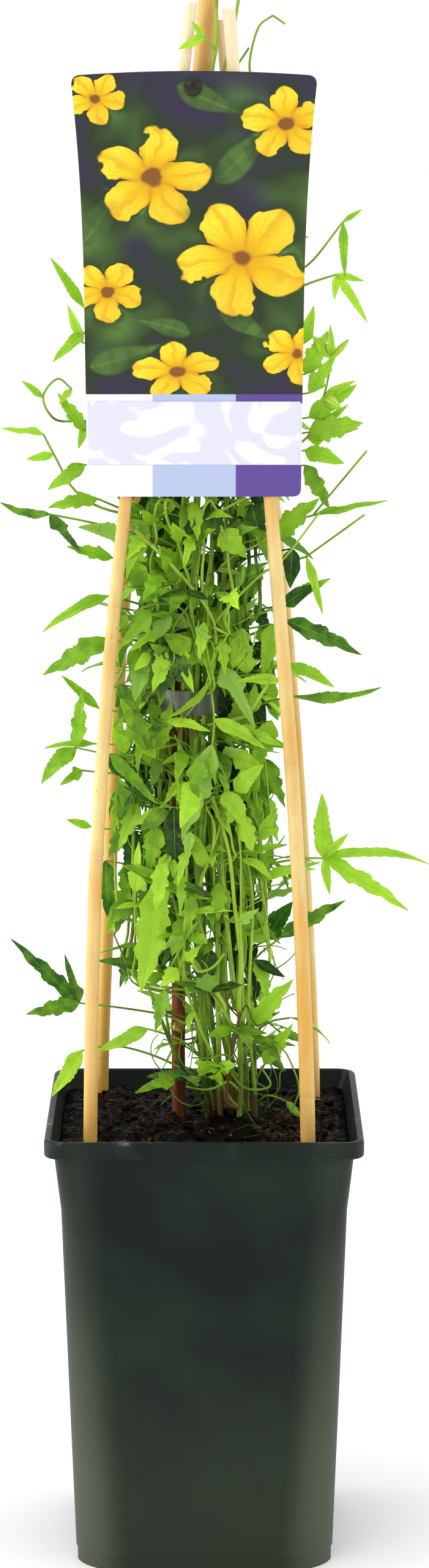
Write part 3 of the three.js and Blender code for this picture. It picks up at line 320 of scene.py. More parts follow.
def bevelled(piece, width, degrees):
    """Rounds the edges at which a piece's faces turn by more than an angle."""
    edges = piece.modifiers.new("edges", "BEVEL")
    edges.width, edges.segments = width, 2
    edges.limit_method, edges.angle_limit = "ANGLE", radians(degrees)
    apply_modifiers(piece)
    return piece


def drilled(piece, places, radius, depth, sides):
    """Drills upright holes through a piece."""
    drills = []
    for place in places:
        bpy.ops.object.select_all(action="DESELECT")
        bpy.ops.mesh.primitive_cylinder_add(vertices=sides, radius=radius, depth=depth, location=place)
        drills.append(bpy.context.object)
        hole = piece.modifiers.new("hole", "BOOLEAN")
        hole.operation, hole.solver, hole.object = "DIFFERENCE", "EXACT", drills[-1]
    apply_modifiers(piece)
    for drill in drills:
        bpy.data.objects.remove(drill, do_unlink=True)


def dress(piece, name, slot, materials, replaced=(), smooth=40):
    """Names a finished piece, gives it its materials and hangs it on the frame."""
    only(piece)
    bpy.ops.object.transform_apply(location=True, rotation=True, scale=True)
    piece.name = name
    piece.data.name = name
    for _ in range(len(piece.data.materials), len(materials)):
        piece.data.materials.append(None)
    for i, material in enumerate(materials):
        piece.data.materials[i] = material
    bpy.ops.object.shade_smooth_by_angle(angle=radians(smooth))
    if replaced:
        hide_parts(*replaced)
    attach(piece, "root")


def ring_order(place, middle):
    """Orders places round a middle, starting just before the +X direction."""
    return (atan2(place[1] - middle[1], place[0] - middle[0]) + 0.0137) % tau


def place_selected(piece, places):
    """Moves the selected loop of vertices onto the places, in order round their middles."""
    mesh = bmesh.from_edit_mesh(piece.data)
    loop = [v for v in mesh.verts if v.select]
    centre = sum((v.co for v in loop), Vector()) / len(loop)
    loop.sort(key=lambda v: ring_order(v.co, centre))
    middle = np.mean(places, axis=0)
    for vertex, place in zip(loop, sorted(places, key=lambda p: ring_order(p, middle))):
        vertex.co = place
    bmesh.update_edit_mesh(piece.data)


def ring_of(places):
    """A circle that is added among a ring of places and moved onto them, in edit mode."""
    bpy.ops.object.select_all(action="DESELECT")
    radius = float(np.linalg.norm(np.ptp(places, axis=0))) / 3
    middle = np.mean(places, axis=0)
    bpy.ops.mesh.primitive_circle_add(vertices=len(places), radius=radius, location=middle)
    piece = bpy.context.object
    bpy.ops.object.transform_apply(location=True)
    bpy.ops.object.mode_set(mode="EDIT")
    bpy.ops.mesh.select_all(action="SELECT")
    place_selected(piece, places)
    return piece


def extruded(rings):
    """A wall that starts as a ring and is extruded through the others, in edit mode."""
    piece = ring_of(rings[0])
    for ring in rings[1:]:
        bpy.ops.mesh.extrude_region_move()
        place_selected(piece, ring)
    return piece


def outward(piece):
    """Leaves edit mode with every face pointing out."""
    bpy.ops.mesh.select_all(action="SELECT")
    bpy.ops.mesh.normals_make_consistent(inside=False)
    bpy.ops.object.mode_set(mode="OBJECT")
    return piece


def solid(rings):
    """A solid through level rings of places, closed at its foot and its end."""
    piece = extruded(rings)
    bpy.ops.mesh.edge_face_add()
    bpy.ops.mesh.select_mode(type="VERT")
    bpy.ops.mesh.select_all(action="DESELECT")
    mesh = bmesh.from_edit_mesh(piece.data)
    for vertex in mesh.verts:
        vertex.select_set(abs(vertex.co.z - rings[0][0][2]) < 1e-5)
    mesh.select_flush(True)
    bmesh.update_edit_mesh(piece.data)
    bpy.ops.mesh.edge_face_add()
    return outward(piece)


def rounded_square(width, corner, flat, height):
    """Places round a square whose round corners are pressed towards flat panels by a share."""
    inner = width / 2 - corner
    places = []
    for quarter in range(4):
        middle = (quarter + 0.5) * pi / 2
        square = [copysign(inner, cos(middle)), copysign(inner, sin(middle))]
        turns = (quarter + np.linspace(0, 1, POT_CORNER_STEPS + 1)) * pi / 2
        arc = square + corner * np.stack([np.cos(turns), np.sin(turns)], axis=-1)
        chord = np.linspace(arc[0], arc[-1], len(arc))
        places += [(x * MM, y * MM, height * MM) for x, y in arc + (chord - arc) * flat]
    return places


def level_ring(x, y, height, radius, sides, wobble=lambda angle: 0):
    """Places round an upright circle, in metres from millimetres."""
    places = []
    for angle in np.arange(sides) * tau / sides:
        reach = radius * (1 + wobble(angle))
        places.append((x + reach * cos(angle), y + reach * sin(angle), height))
    return [tuple(value * MM for value in place) for place in places]


def smooth_path(points, steps):
    """A curve through the points, with so many steps between each two."""
    points = np.asarray(points, float)
    padded = np.vstack([2 * points[0] - points[1], points, 2 * points[-1] - points[-2]])
    t = (np.arange(steps) / steps)[:, None]
    path = []
    for a, b, c, d in zip(padded, padded[1:], padded[2:], padded[3:]):
        bend, swing = 2 * a - 5 * b + 4 * c - d, 3 * b - a - 3 * c + d
        path.append(0.5 * (2 * b + (c - a) * t + bend * t * t + swing * t * t * t))
    return np.vstack([*path, points[-1:]])


class Surfaces:
    """Gathers many small surfaces before they become one mesh."""

    def __init__(self):
        self.places, self.faces, self.uvs, self.tones = [], [], [], []
        self.count = 0

    def add(self, places, faces, uv, tone):
        """Adds one surface; a triangle is a quad that repeats its last corner."""
        self.faces.append(np.asarray(faces, int) + self.count)
        self.places.append(places)
        self.uvs.append(uv)
        self.tones.append(np.broadcast_to(tone, len(places)))
        self.count += len(places)

    def piece(self, name, materials):
        """One object of everything gathered, with its UV map and its tone at each vertex."""
        low, high = np.array(CAD_BOX)
        places = np.clip(np.concatenate(self.places) * MM, low + EDGE_ROOM, high - EDGE_ROOM)
        faces = [f if f[2] != f[3] else f[:3] for f in np.concatenate(self.faces).tolist()]
        mesh = bpy.data.meshes.new(name)
        mesh.from_pydata(places.tolist(), [], faces)
        corners = np.zeros(len(mesh.loops), np.int32)
        mesh.loops.foreach_get("vertex_index", corners)
        layer = mesh.uv_layers.new(name="surface")
        layer.data.foreach_set("uv", np.concatenate(self.uvs)[corners].astype(np.float32).ravel())
        store(mesh, "tone", np.concatenate(self.tones))
        for material in materials:
            mesh.materials.append(material)
        piece = bpy.data.objects.new(name, mesh)
        bpy.context.collection.objects.link(piece)
        return piece


def store(mesh, name, values):
    """Stores a value at each vertex."""
    attribute = mesh.attributes.new(name, "FLOAT", "POINT")
    attribute.data.foreach_set("value", np.asarray(values, np.float32))


def grid_faces(rows, columns, closed=False):
    """Quads of a grid of vertices that is stored row by row."""
    i = np.arange(rows - 1)[:, None]
    j = np.arange(columns if closed else columns - 1)[None, :]
    a = i * columns + j
    b = i * columns + (j + 1) % columns
    return np.stack([a, b, b + columns, a + columns], axis=-1).reshape(-1, 4)


def tube(surfaces, path, radii, sides, tone, ribs=0.0):
    """A round stalk along a path, closed at both ends."""
    path = np.asarray(path, float)
    count = len(path)
    radii = np.broadcast_to(radii, count)
    along = np.gradient(path, axis=0)
    across = unit(np.cross(along[0], SIDEWAYS))
    angles = np.arange(sides) * tau / sides
    ripple = 1 + ribs * np.cos(angles * sides / 2)
    rings = []
    for place, direction, radius in zip(path, along, radii):
        direction = unit(direction)
        across = unit(across - direction * across.dot(direction))
        other = np.cross(direction, across)
        reach = radius * ripple
        ring = np.outer(np.cos(angles) * reach, across) + np.outer(np.sin(angles) * reach, other)
        rings.append(place + ring)
    places = np.concatenate([*rings, path[:1], path[-1:]])
    first = count * sides
    top = first - sides
    j = np.arange(sides)
    k = (j + 1) % sides
    foot = np.stack([np.full(sides, first), k, j, j], axis=-1)
    end = np.stack([np.full(sides, first + 1), top + j, top + k, top + k], axis=-1)
    steps = np.linalg.norm(np.diff(path, axis=0), axis=1)
    run = np.concatenate([[0], np.cumsum(steps)]) / UV_RUN
    uv = np.stack([np.tile(j / sides, count), np.repeat(run, sides)], axis=-1)
    uv = np.concatenate([uv, [(0.5, run[0]), (0.5, run[-1])]])
    surfaces.add(places, np.concatenate([grid_faces(count, sides, True), foot, end]), uv, tone)


# ---- leaves

EDGE_ROOM = 0.0002  # metres kept inside the model's box
SIDEWAYS = (0.31, 0.95, 0.05)  # any direction that no stalk grows along
UV_RUN = 10  # millimetres of stalk in one unit of its UV map
LEAF_THICK = 0.3  # millimetres
GLOW_REACH = (0.5, 1.0, 0.2)  # how far red, green and blue light spreads in a leaf
# How finely a blade is made: [length below, stations along it, columns on each half].
LEAF_GRIDS = ((14, 7, 2), (24, 11, 2), (inf, 18, 3))
TOOTH_LEAN = 0.045  # teeth point this share of the length forward
# Small forward teeth on the longer blades, as shares of the length and of the half width.
TEETH = {"over": 20, "first": 0.26, "last": 0.66, "count": 4, "depth": 0.15, "slope": 0.018}
VEIN_LEAN = 0.75  # veins run this much forward for each step sideways
TIP_MATCH = 0.45  # millimetres within which a blade's tip is found on the model
BUD_PROFILE = ((0, 0.12), (0.06, 0.42), (0.18, 0.8), (0.34, 0.98), (0.52, 1), (0.7, 0.84),
               (0.84, 0.58), (0.94, 0.3), (1, 0.06))


def half_widths(outline, hand, stations, width):
    """The blade's half width on one side at each station, in millimetres."""
    rows = OUTLINES[outline]
    at = [row[0] for row in rows]
    half = [row[hand] for row in rows]
    for i in range(1, len(rows) - 1):
        if half[i] > half[i - 1] and half[i] > half[i + 1]:
            at[i] += TOOTH_LEAN
    values = np.interp(stations, [0, *at, 1], [0, *half, 0])
    base = stations < at[0]
    values[base] = half[0] * np.sin(stations[base] / at[0] * pi / 2) ** 0.9
    tip = stations > at[-1]
    values[tip] = half[-1] * ((1 - stations[tip]) / (1 - at[-1])) ** 0.85
    values *= width / 2
    values[0] = max(values[0], 0.35)
    values[-1] = 0.12
    return values


def tooth_edge(hand):
    """Rows of [place along the blade, how far out the toothed edge reaches] for one side."""
    pitch = (TEETH["last"] - TEETH["first"]) / TEETH["count"]
    rows = [(0, 1)]
    for i in range(TEETH["count"]):
        peak = TEETH["first"] + (i + hand / 2) * pitch
        rows += [(peak, 1), (peak + TEETH["slope"], 1 - TEETH["depth"])]
    return [*rows, (TEETH["last"] + pitch, 1)]


def blade(sheets, base, tip, width, outline, face, arch, tone, draws, turned=False):
    """One leaflet: a folded and waved sheet, with its rows slanting forward as its veins do."""
    along = tip - base
    length = np.linalg.norm(along)
    side = unit(np.cross(along, face))
    normal = unit(np.cross(side, along))
    _, count, columns = next(row for row in LEAF_GRIDS if length < row[0])
    toothed = length > TEETH["over"]
    knots = [row[0] for row in OUTLINES[outline]]
    if toothed:
        knots += [place for hand in (1, 2) for place, _ in tooth_edge(hand)]
    stations = np.unique(np.concatenate([np.linspace(0, 1, count), knots]).round(4))
    reach = width / 2 * (4 * stations * (1 - stations)) ** 0.7
    middles = np.maximum(stations - VEIN_LEAN * reach / length, 0.3 * stations)
    middles[-1] = 1

    fold = draws(0.12, 0.42)
    wave = draws(0.01, 0.035) * length
    turns = draws(1.2, 2.6)
    curl = draws(-0.12, 0.1) * length
    twist = draws(-0.35, 0.35) * stations

    def centre_line(t):
        lift = arch * 4 * t * (1 - t) + curl * 2 * t * t * (1 - t)
        return base + np.outer(t, along) + np.outer(lift, normal)

    across = np.outer(np.cos(twist), side) + np.outer(np.sin(twist), normal)
    centre = centre_line(middles)
    shares = np.linspace(-1, 1, 2 * columns + 1)
    sheet = np.zeros((len(stations), len(shares), 3))
    for hand, sign in ((1, -1), (2, 1)):
        half = half_widths(outline, hand, stations, width)
        if toothed:
            half *= np.interp(stations, *zip(*tooth_edge(hand)))
        phase = draws(0, tau)
        margin = centre_line(stations) + across * (sign * half)[:, None]
        ripple = wave * np.sin(stations * turns * tau + phase) * half / (width / 2)
        for j, share in enumerate(shares * sign):
            if share >= 0:
                lift = fold * half * share * (1.25 - 0.5 * share) + ripple * share * share
                sheet[:, j] = centre + (margin - centre) * share + np.outer(lift, normal)
    rows, wide = len(stations), len(shares)
    faces = grid_faces(rows, wide)
    uv = np.stack([np.tile((shares + 1) / 2, rows), np.repeat(stations, wide)], axis=-1)
    sheets.add(sheet.reshape(-1, 3), faces[:, ::-1] if turned else faces, uv, tone)


def bud(stalks, base, tip, width, tone):
    """A closed flower bud: a plump drop with four seams."""
    shares, reaches = np.array(BUD_PROFILE).T
    tube(stalks, base + np.outer(shares, tip - base), reaches * width / 2, 8, tone, ribs=0.08)


def node_tree(name):
    """The vertices of a CAD node, ready to be searched."""
    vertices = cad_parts[name].data.vertices
    tree = KDTree(len(vertices))
    for vertex in vertices:
        tree.insert(vertex.co, vertex.index)
    tree.balance()
    return tree


def stands(tree, tip):
    """Whether the model has the end of a blade at this place, in millimetres."""
    return tree.find(Vector(tip) * MM)[2] < TIP_MATCH * MM


def ways(angle):
    """The level directions out at an angle, and across that to the left."""
    out = np.array([cos(angle), sin(angle), 0])
    return out, np.array([-out[1], out[0], 0])


def faced(degrees):
    """The way a blade faces: 0 is up and 90 to the front."""
    angle = radians(degrees)
    return np.array([0, -sin(angle), cos(angle)])


def outward_angle(stem, height):
    """The direction in which a stem stands from the middle of the bundle."""
    centre_x, centre_y = along_height(BUNDLE, height)[:2]
    x, y, _ = stem_point(stem, height)
    return atan2(y - centre_y, x - centre_x)


def arched(root, out, stalk, rise):
    """The foot, middle and end of a leaf stalk that goes out and rises or hangs."""
    return [root + out * stalk * s + UP * stalk * rise * s * (2 - s) for s in (0, 0.55, 1)]


def hand_spray_forms(stem, root, way, blades):
    """The forms in which a listed spray can stand, with the blade at its end first."""
    for shift in HAND_SHIFTS:
        line = [stem_point(stem, root), *(np.array([x, y + shift, z]) for x, y, z in way)]
        shapes = []
        for start, x, y, z, width, outline, facing, arch in blades:
            tip = np.array([x, y + shift, z], float)
            shapes.append((line[start + 1], tip, width, outline, faced(facing), arch))
        end = [blade[0] for blade in blades].index(len(way) - 1)
        yield line, [shapes.pop(end), *shapes]


def fill_draws(seed):
    """The seeded draws that the fill of the column is grown from."""
    while True:
        seed = (seed * 1664525 + 1013904223) % 2**32
        yield seed / 2**32


def between(draws, low, high):
    """One of the fill's draws, between two values."""
    return low + (high - low) * next(draws)


def fill_spray_forms(stem, height, draws):
    """The forms in which a spray of the fill can stand, one for each turn round its stem."""
    swing, rise, stalk, length, droop, roll = (between(draws, *ends) for ends in FILL["draws"])
    outline = FILL["outlines"][int(next(draws) * len(FILL["outlines"]))]
    leaflet, slim = length * FILL["pair_share"], FILL["slim"]
    for turn in FILL_TURNS:
        out, cross = ways(outward_angle(stem, height) + swing + turn)
        face = UP + out * FILL["lean"] + cross * roll
        line = arched(stem_point(stem, height), out, stalk, rise)
        tip = line[2] + unit(out + UP * droop) * length
        shapes = [(line[2], tip, length * slim, outline, face, FILL["arch"])]
        for hand in (1, -1):
            way = out * cos(FILL["pair_angle"]) + cross * hand * sin(FILL["pair_angle"])
            end = line[1] + (way + UP * droop * FILL["pair_droop"]) * leaflet
            shapes.append((line[1], end, leaflet * slim, "lance", face, 0))
        yield line, shapes


def grown_sprays():
    """Every spray that the model holds, as {stem: [(line, blades)]}."""
    trees = [node_tree(stem_name(stem)) for stem in range(STEM_COUNT)]
    sprays = {stem: [] for stem in range(STEM_COUNT)}

    def keep(stem, forms):
        for line, shapes in forms:
            if stands(trees[stem], shapes[0][1]):
                kept = [s for s in shapes if stands(trees[stem], s[1])]
                sprays[stem].append((line, kept))
                return

    for root, way, blades in HAND_SPRAYS:
        stem = outermost_stem(root, way[0])
        keep(stem, hand_spray_forms(stem, root, way, blades))
    draws = fill_draws(FILL["seed"])
    for stem in range(STEM_COUNT):
        height = FILL["first"] + (stem % 4) * FILL["stagger"]
        while height < min(STEM_TOPS[stem] - STEM_TIP, FILL["last"]):
            keep(stem, fill_spray_forms(stem, height, draws))
            height += between(draws, *FILL["step"])
    return sprays


def stem_name(stem):
    """The CAD node of a stem."""
    return f"stem_{stem + 1:02d}"


# ---- finishes


def srgb(red, green, blue):
    """A colour given in the usual 0 to 255, as the linear values that Blender wants."""
    linear = [
        c / 12.92 if c <= 0.04045 else ((c + 0.055) / 1.055) ** 2.4
        for c in (value / 255 for value in (red, green, blue))
    ]
    return (*linear, 1.0)


class Finish:
    """A material in the making: one principled shader and the nodes that feed it."""

    def __init__(self, name, **fixed):
        self.material = bpy.data.materials.new(name)
        self.material.use_nodes = True
        self.tree = self.material.node_tree
        self.shader = self.tree.nodes["Principled BSDF"]
        for word, value in fixed.items():
            socket = word.replace("_", " ").title().replace("Ior", "IOR")
            self.shader.inputs[socket].default_value = value

    def feed(self, *sources):
        """Links colour, relief and roughness to the shader and returns the finished material."""
        for socket, source in zip(("Base Color", "Normal", "Roughness"), sources):
            self.tree.links.new(source, self.shader.inputs[socket])
        return self.material

    def node(self, kind, inputs, **options):
        """A node with its options set, and each input fed by a value or by another socket."""
        node = self.tree.nodes.new(f"ShaderNode{kind}")
        for name, value in options.items():
            setattr(node, name, value)
        for socket, value in inputs.items():
            if isinstance(value, bpy.types.NodeSocket):
                self.tree.links.new(value, node.inputs[socket])
            else:
                node.inputs[socket].default_value = value
        return node

    def place(self, scale=(1, 1, 1), turn=(0, 0, 0)):
        """Object coordinates, in metres, stretched and turned."""
        source = self.node("TexCoord", {}).outputs["Object"]
        return self.node("Mapping", {"Vector": source, "Scale": scale, "Rotation": turn}).outputs[0]

    def height(self):
        """Height over the floor, in metres."""
        return self.node("SeparateXYZ", {0: self.place()}).outputs[2]

    def uv(self):
        """The across and along values of the piece's UV map."""
        source = self.node("UVMap", {}, uv_map="surface").outputs[0]
        return self.node("SeparateXYZ", {0: source}).outputs[:2]

    def value(self, name):
        """A value that the piece carries at each vertex."""
        return self.node("Attribute", {}, attribute_name=name).outputs["Fac"]

    def noise(self, scale, detail=2.0, rough=0.5, place=None, bend=0.0):
        """Cloudy noise; the scale is in waves for each metre."""
        inputs = {"Vector": place or self.place(), "Scale": scale, "Detail": detail,
                  "Roughness": rough, "Distortion": bend}
        return self.node("TexNoise", inputs).outputs["Fac"]

    def cells(self, scale, place=None):
        """Distance to the nearest of many scattered points."""
        inputs = {"Scale": scale, "Vector": place or self.place()}
        return self.node("TexVoronoi", inputs).outputs["Distance"]

    def span(self, value, low, high, start=0.0, end=1.0):
        """Eases a value that runs from low to high into one from start to end."""
        inputs = dict(enumerate((value, low, high, start, end)))
        return self.node("MapRange", inputs, interpolation_type="SMOOTHSTEP").outputs[0]

    def calc(self, operation, a, b=0.0):
        """Arithmetic on two values."""
        return self.node("Math", {0: a, 1: b}, operation=operation).outputs[0]

    plus = partialmethod(calc, "ADD")
    minus = partialmethod(calc, "SUBTRACT")
    times = partialmethod(calc, "MULTIPLY")
    over = partialmethod(calc, "DIVIDE")

    def mix(self, share, a, b, blend="MIX"):
        """Two colours, mixed."""
        inputs = {0: share, 6: a, 7: b}
        return self.node("Mix", inputs, data_type="RGBA", blend_type=blend).outputs[2]

    def coats(self, colour, *coats):
        """A colour under coats of [share, colour], the last one on top."""
        for share, coat in coats:
            colour = self.mix(share, colour, coat)
        return colour

    def ramp(self, value, *stops):
        """Colours along a value, from stops of place and colour."""
        node = self.node("ValToRGB", {"Fac": value})
        elements = node.color_ramp.elements
        for element, stop in zip((elements[0], elements[1]), (stops[0], stops[-1])):
            element.position, element.color = stop
        for place, colour in stops[1:-1]:
            elements.new(place).color = colour
        return node.outputs["Color"]

    def bump(self, *layers):
        """Low relief, from layers of a height and its depth in millimetres."""
        under = {}
        for height, depth in layers:
            inputs = {"Height": height, "Distance": depth * MM, "Strength": 1.0, **under}
            under = {"Normal": self.node("Bump", inputs).outputs[0]}
        return under["Normal"]


def leaf_finish(name, look, under):
    """A leaf's skin, with its midrib and side veins and painted shade on the lowest tones for leaves deep
    in the bundle; the underside is pale and matt.
    """
    skin = Finish(name, subsurface_weight=look.glow, subsurface_radius=GLOW_REACH,
                  subsurface_scale=0.0016, specular_ior_level=0.22)
    across, along = skin.uv()
    off = skin.calc("ABSOLUTE", skin.minus(across, 0.5))
    side_vein = skin.calc("ABSOLUTE", skin.calc("SINE", skin.times(along, 6.5 * pi)))
    side_vein = skin.times(skin.span(side_vein, 0, 0.2, 1, 0), 0.4)
    vein = skin.calc("MAXIMUM", skin.span(off, 0, look.midrib, 1, 0), side_vein)
    cloudy, fine = skin.noise(150), skin.noise(1500)
    tone = skin.plus(skin.value("tone"), skin.span(cloudy, 0.25, 0.75, -0.09, 0.09))
    # the lowest tones are painted shade, for leaves deep inside the bundle
    stops = ((0, look.deep), (0.14, look.dark), (0.45, look.middle), (0.95, look.young))
    if under:
        stops = ((0, look.under_dark), (1, look.under_light))
    colour = skin.ramp(tone, *stops)
    edge = skin.times(skin.span(off, 0.4, 0.5), skin.span(skin.noise(70, 1), 0.56, 0.7))
    colour = skin.coats(
        skin.mix(skin.span(fine, 0.3, 0.8, 0, 0.2), colour, look.dark, "MULTIPLY"),
        (skin.times(vein, 0.4), look.vein),
        (skin.span(skin.noise(95, 4, 0.65), 0.69, 0.74), look.dry),
        (skin.times(edge, 0.5), look.dry),
    )
    gloss = skin.span(cloudy, 0.2, 0.8, *((0.58, 0.78) if under else (0.36, 0.56)))
    relief = skin.bump((vein, 0.22 if under else -0.16), (cloudy, 0.25))
    return skin.feed(colour, relief, gloss)


def stalk_finish(look):
    """Green stalks and stems, ribbed along their length, brown in places."""
    skin = Finish("clematis_stalk", subsurface_weight=0.2, subsurface_radius=GLOW_REACH,
                  subsurface_scale=0.0012, specular_ior_level=0.25)
    ribs = skin.calc("SINE", skin.times(skin.uv()[0], 8 * tau))
    height, own = skin.height(), skin.value("tone")
    tone = skin.plus(own, skin.span(skin.noise(60), 0.3, 0.7, -0.2, 0.2))
    tone = skin.plus(tone, skin.span(height, 0.29, 0.215, 0, -0.45))
    aged = skin.plus(skin.noise(38, 4, 0.6), skin.span(height, 0.26, 0.21, 0, 0.1))
    brown = skin.times(skin.span(aged, 0.6, 0.7), 0.75)
    colour = skin.coats(
        skin.ramp(tone, (0, look.stalk_dark), (0.5, look.stalk), (1, look.stalk_young)),
        (skin.calc("MAXIMUM", brown, skin.span(own, 0, -0.3)), look.stalk_brown),
        (skin.span(ribs, -1, 1, 0, 0.22), look.stalk_dark),
    )
    gloss = skin.span(skin.noise(400), 0.3, 0.7, 0.4, 0.6)
    return skin.feed(colour, skin.bump((ribs, 0.12)), gloss)


def pot_finish(look):
    """Dark moulded plastic, with a film of dust, fine scratches, scuffs along the rim and chalky wear
    with a painted highlight on the corners.
    """
    skin = Finish("pot_plastic", specular_ior_level=0.14)
    height, fine = skin.height(), skin.noise(900, 3, 0.7)
    level = skin.place((1, 1, 0))
    radius = skin.node("VectorMath", {0: level}, operation="LENGTH").outputs["Value"]
    corner = skin.span(skin.minus(radius, skin.times(height, 0.06)), 0.073, 0.085)
    specks = skin.times(skin.span(skin.cells(320), 0, 0.05, 1, 0),
                        skin.span(skin.noise(60, 1), 0.54, 0.64, 0, 0.6))
    lip = skin.span(height, 0.213, 0.2145)
    smudge = skin.times(lip, skin.span(skin.noise(48, 3), 0.52, 0.72, 0, 0.03))
    rim = skin.span(height, 0.2202, 0.2218)
    colour = skin.coats(
        skin.mix(skin.span(skin.noise(16, 3, 0.55), 0.35, 0.7), look.dark, look.colour),
        # lighter, greener tint towards the foot
        (skin.span(height, 0.15, 0, 0, 0.6), look.dusty),
        # chalky wear and a painted highlight on the corner panels, stronger towards the foot
        (skin.times(corner, skin.span(height, 0.2, 0.03, 0.12, 0.5)), look.chalk),
        (skin.span(fine, 0.5, 0.8, 0, 0.25), look.dusty),
        (specks, look.speck),
        (skin.times(lip, 0.55), look.dark),
        (smudge, look.speck),
        (skin.times(rim, skin.span(skin.noise(62, 4, 0.7), 0.6, 0.72, 0, 0.25)), look.scuff),
    )
    gloss = skin.span(fine, 0.3, 0.75, look.gloss, look.gloss + 0.2)
    relief = skin.bump((skin.noise(9), 0.7), (fine, 0.03))
    return skin.feed(colour, relief, gloss)


def soil_finish(look):
    """Moist peat: dark crumbs with lighter, drier tops and brown fibres."""
    skin = Finish("peat", specular_ior_level=0.03)
    lumps, grains = skin.noise(180, 5, 0.65), skin.cells(420)
    wood = skin.noise(330, 2, 0.5, skin.place((1, 0.3, 1), (0, 0, 0.6)))
    colour = skin.coats(
        skin.ramp(lumps, (0.3, look.dark), (0.58, look.colour), (0.78, look.dry)),
        (skin.span(grains, 0.1, 0.6, 0, 0.5), look.dark),
        (skin.span(wood, 0.66, 0.74, 0, 0.6), look.wood),
    )
    wet = skin.span(skin.noise(500), 0.42, 0.66, 0.32, 0.95)
    relief = skin.bump((lumps, 1.6), (grains, -0.5))
    return skin.feed(colour, relief, wet)


def litter_finish(look):
    """Bark chips and root fibres in brown, tan and straw."""
    skin = Finish("litter", specular_ior_level=0.05)
    tone = skin.plus(skin.value("tone"), skin.span(skin.noise(300), 0.3, 0.7, -0.2, 0.2))
    colour = skin.ramp(tone, (0.1, look.dark), (0.4, look.wood), (0.7, look.bark), (1, look.straw))
    gloss = skin.span(skin.noise(350, 1), 0.3, 0.7, 0.55, 0.9)
    return skin.feed(colour, skin.bump((skin.noise(800), 0.3)), gloss)


def bamboo_finish(name, look, ripe, bleached, decayed):
    """Bamboo: fine fibres along the cane, dark specks, a bloom round each knot, a dry top."""
    skin = Finish(name, specular_ior_level=0.3)
    height = skin.height()
    fibres = skin.noise(1500, 2, 0.6, skin.place((1, 1, 0.03)))
    cloud = skin.noise(45, 3, 0.55, skin.place((1, 1, 0.35)))
    specks = skin.span(skin.cells(360, skin.place((1, 1, 0.4))), 0.05, 0.12, 1, 0)
    few = skin.span(skin.noise(50), 0.46, 0.6, 0, 0.75)
    decay = skin.times(skin.span(height, 0.742, 0.762), skin.span(cloud, 0.5, 0.62, 0, decayed))
    colour = skin.coats(
        skin.ramp(cloud, (0.3, look.pale), (0.5, look.colour), (0.72, look.golden)),
        (ripe, look.golden),
        (skin.span(height, 0.33, 0.235, 0, 0.5), look.golden),
        (skin.span(height, 0.67, 0.75, 0, bleached), look.bleached),
        (skin.span(fibres, 0.35, 0.75, 0, 0.22), look.fibre),
        (skin.times(specks, few), look.speck),
        (skin.times(skin.value("knot"), 0.15), look.knot_colour),
        (decay, look.speck),
    )
    gloss = skin.span(fibres, 0.3, 0.7, 0.38, 0.6)
    return skin.feed(colour, skin.bump((fibres, 0.08)), gloss)


def stake_finish(look):
    """Red-brown twig bark, rough along its length."""
    skin = Finish("stake_bark", specular_ior_level=0.12)
    grain, patch = skin.noise(420, 4, 0.65, skin.place((1, 1, 0.12))), skin.noise(60, 3)
    colour = skin.ramp(grain, (0.3, look.dark), (0.52, look.colour), (0.75, look.light))
    colour = skin.mix(skin.span(patch, 0.5, 0.7, 0, 0.4), colour, look.light)
    gloss = skin.span(patch, 0.3, 0.7, 0.6, 0.85)
    return skin.feed(colour, skin.bump((grain, 0.6)), gloss)


def stub_finish(look):
    """The green bark and dry brown collar of a cut shoot."""
    skin = Finish("stake_stub", specular_ior_level=0.3)
    frayed = skin.plus(skin.uv()[1], skin.span(skin.noise(420, 3), 0.3, 0.7, -0.14, 0.14))
    stops = (0.3, look.colour), (0.42, look.dark), (0.6, look.cut), (0.9, look.light)
    return skin.feed(skin.ramp(frayed, *stops), skin.bump((skin.noise(700, 3), 0.3)))


def tie_finish(look):
    """Clear grey ribbed plastic tape, cloudy with handling."""
    skin = Finish("tie_tape", transmission_weight=0.3, ior=1.46)
    wide = skin.noise(210, 2, 0.5, skin.place((1, 1, 0.12)))
    fine = skin.noise(900, 2, 0.5, skin.place((1, 1, 0.1)))
    colour = skin.ramp(wide, (0.35, look.shade), (0.5, look.colour), (0.66, look.light))
    gloss = skin.span(fine, 0.3, 0.7, 0.2, 0.42)
    return skin.feed(colour, skin.bump((wide, 0.5), (fine, 0.1)), gloss)


def strap_finish(look):
    """Dark olive moulded plastic, nearly black, glossy and lightly scratched."""
    skin = Finish("strap_plastic", specular_ior_level=0.3)
    cloud = skin.noise(320, 3)
    colour = skin.ramp(cloud, (0.3, look.strap_dark), (0.7, look.strap_colour))
    gloss = skin.span(skin.noise(1600), 0.3, 0.7, 0.22, 0.42)
    return skin.feed(colour, skin.bump((cloud, 0.08)), gloss)


# Blossoms printed on the card: [across, up, radius, turn, height as a share of the width], in
# millimetres from the card's middle and lower edge. The later ones lie in front.
BLOSSOMS = (
    (-47, 190, 15, 0.2, 0.85), (44, 178, 22, 0.9, 0.8), (-42, 98, 19, 0.3, 0.78),
    (49, 68, 18, 0.1, 0.85), (-8, 60, 22, 0.8, 0.66), (-20, 152, 29, 1.1, 0.84),
    (23, 114, 32, 0.5, 0.88),
)
# Leaves printed behind them: [across, up, length, turn, share of bright green].
PRINTED_LEAVES = (
    (-54, 120, 44, 0.9, 0.2), (-8, 196, 40, -0.5, 0.1), (10, 150, 46, 0.7, 0.35),
    (52, 108, 38, 2.3, 0.5), (-50, 62, 42, 0.2, 0.3), (12, 92, 36, -0.7, 0.6),
    (-14, 134, 34, 2.6, 0.5), (44, 184, 34, 3.9, 0.4), (-2, 78, 30, 2.8, 0.2),
)
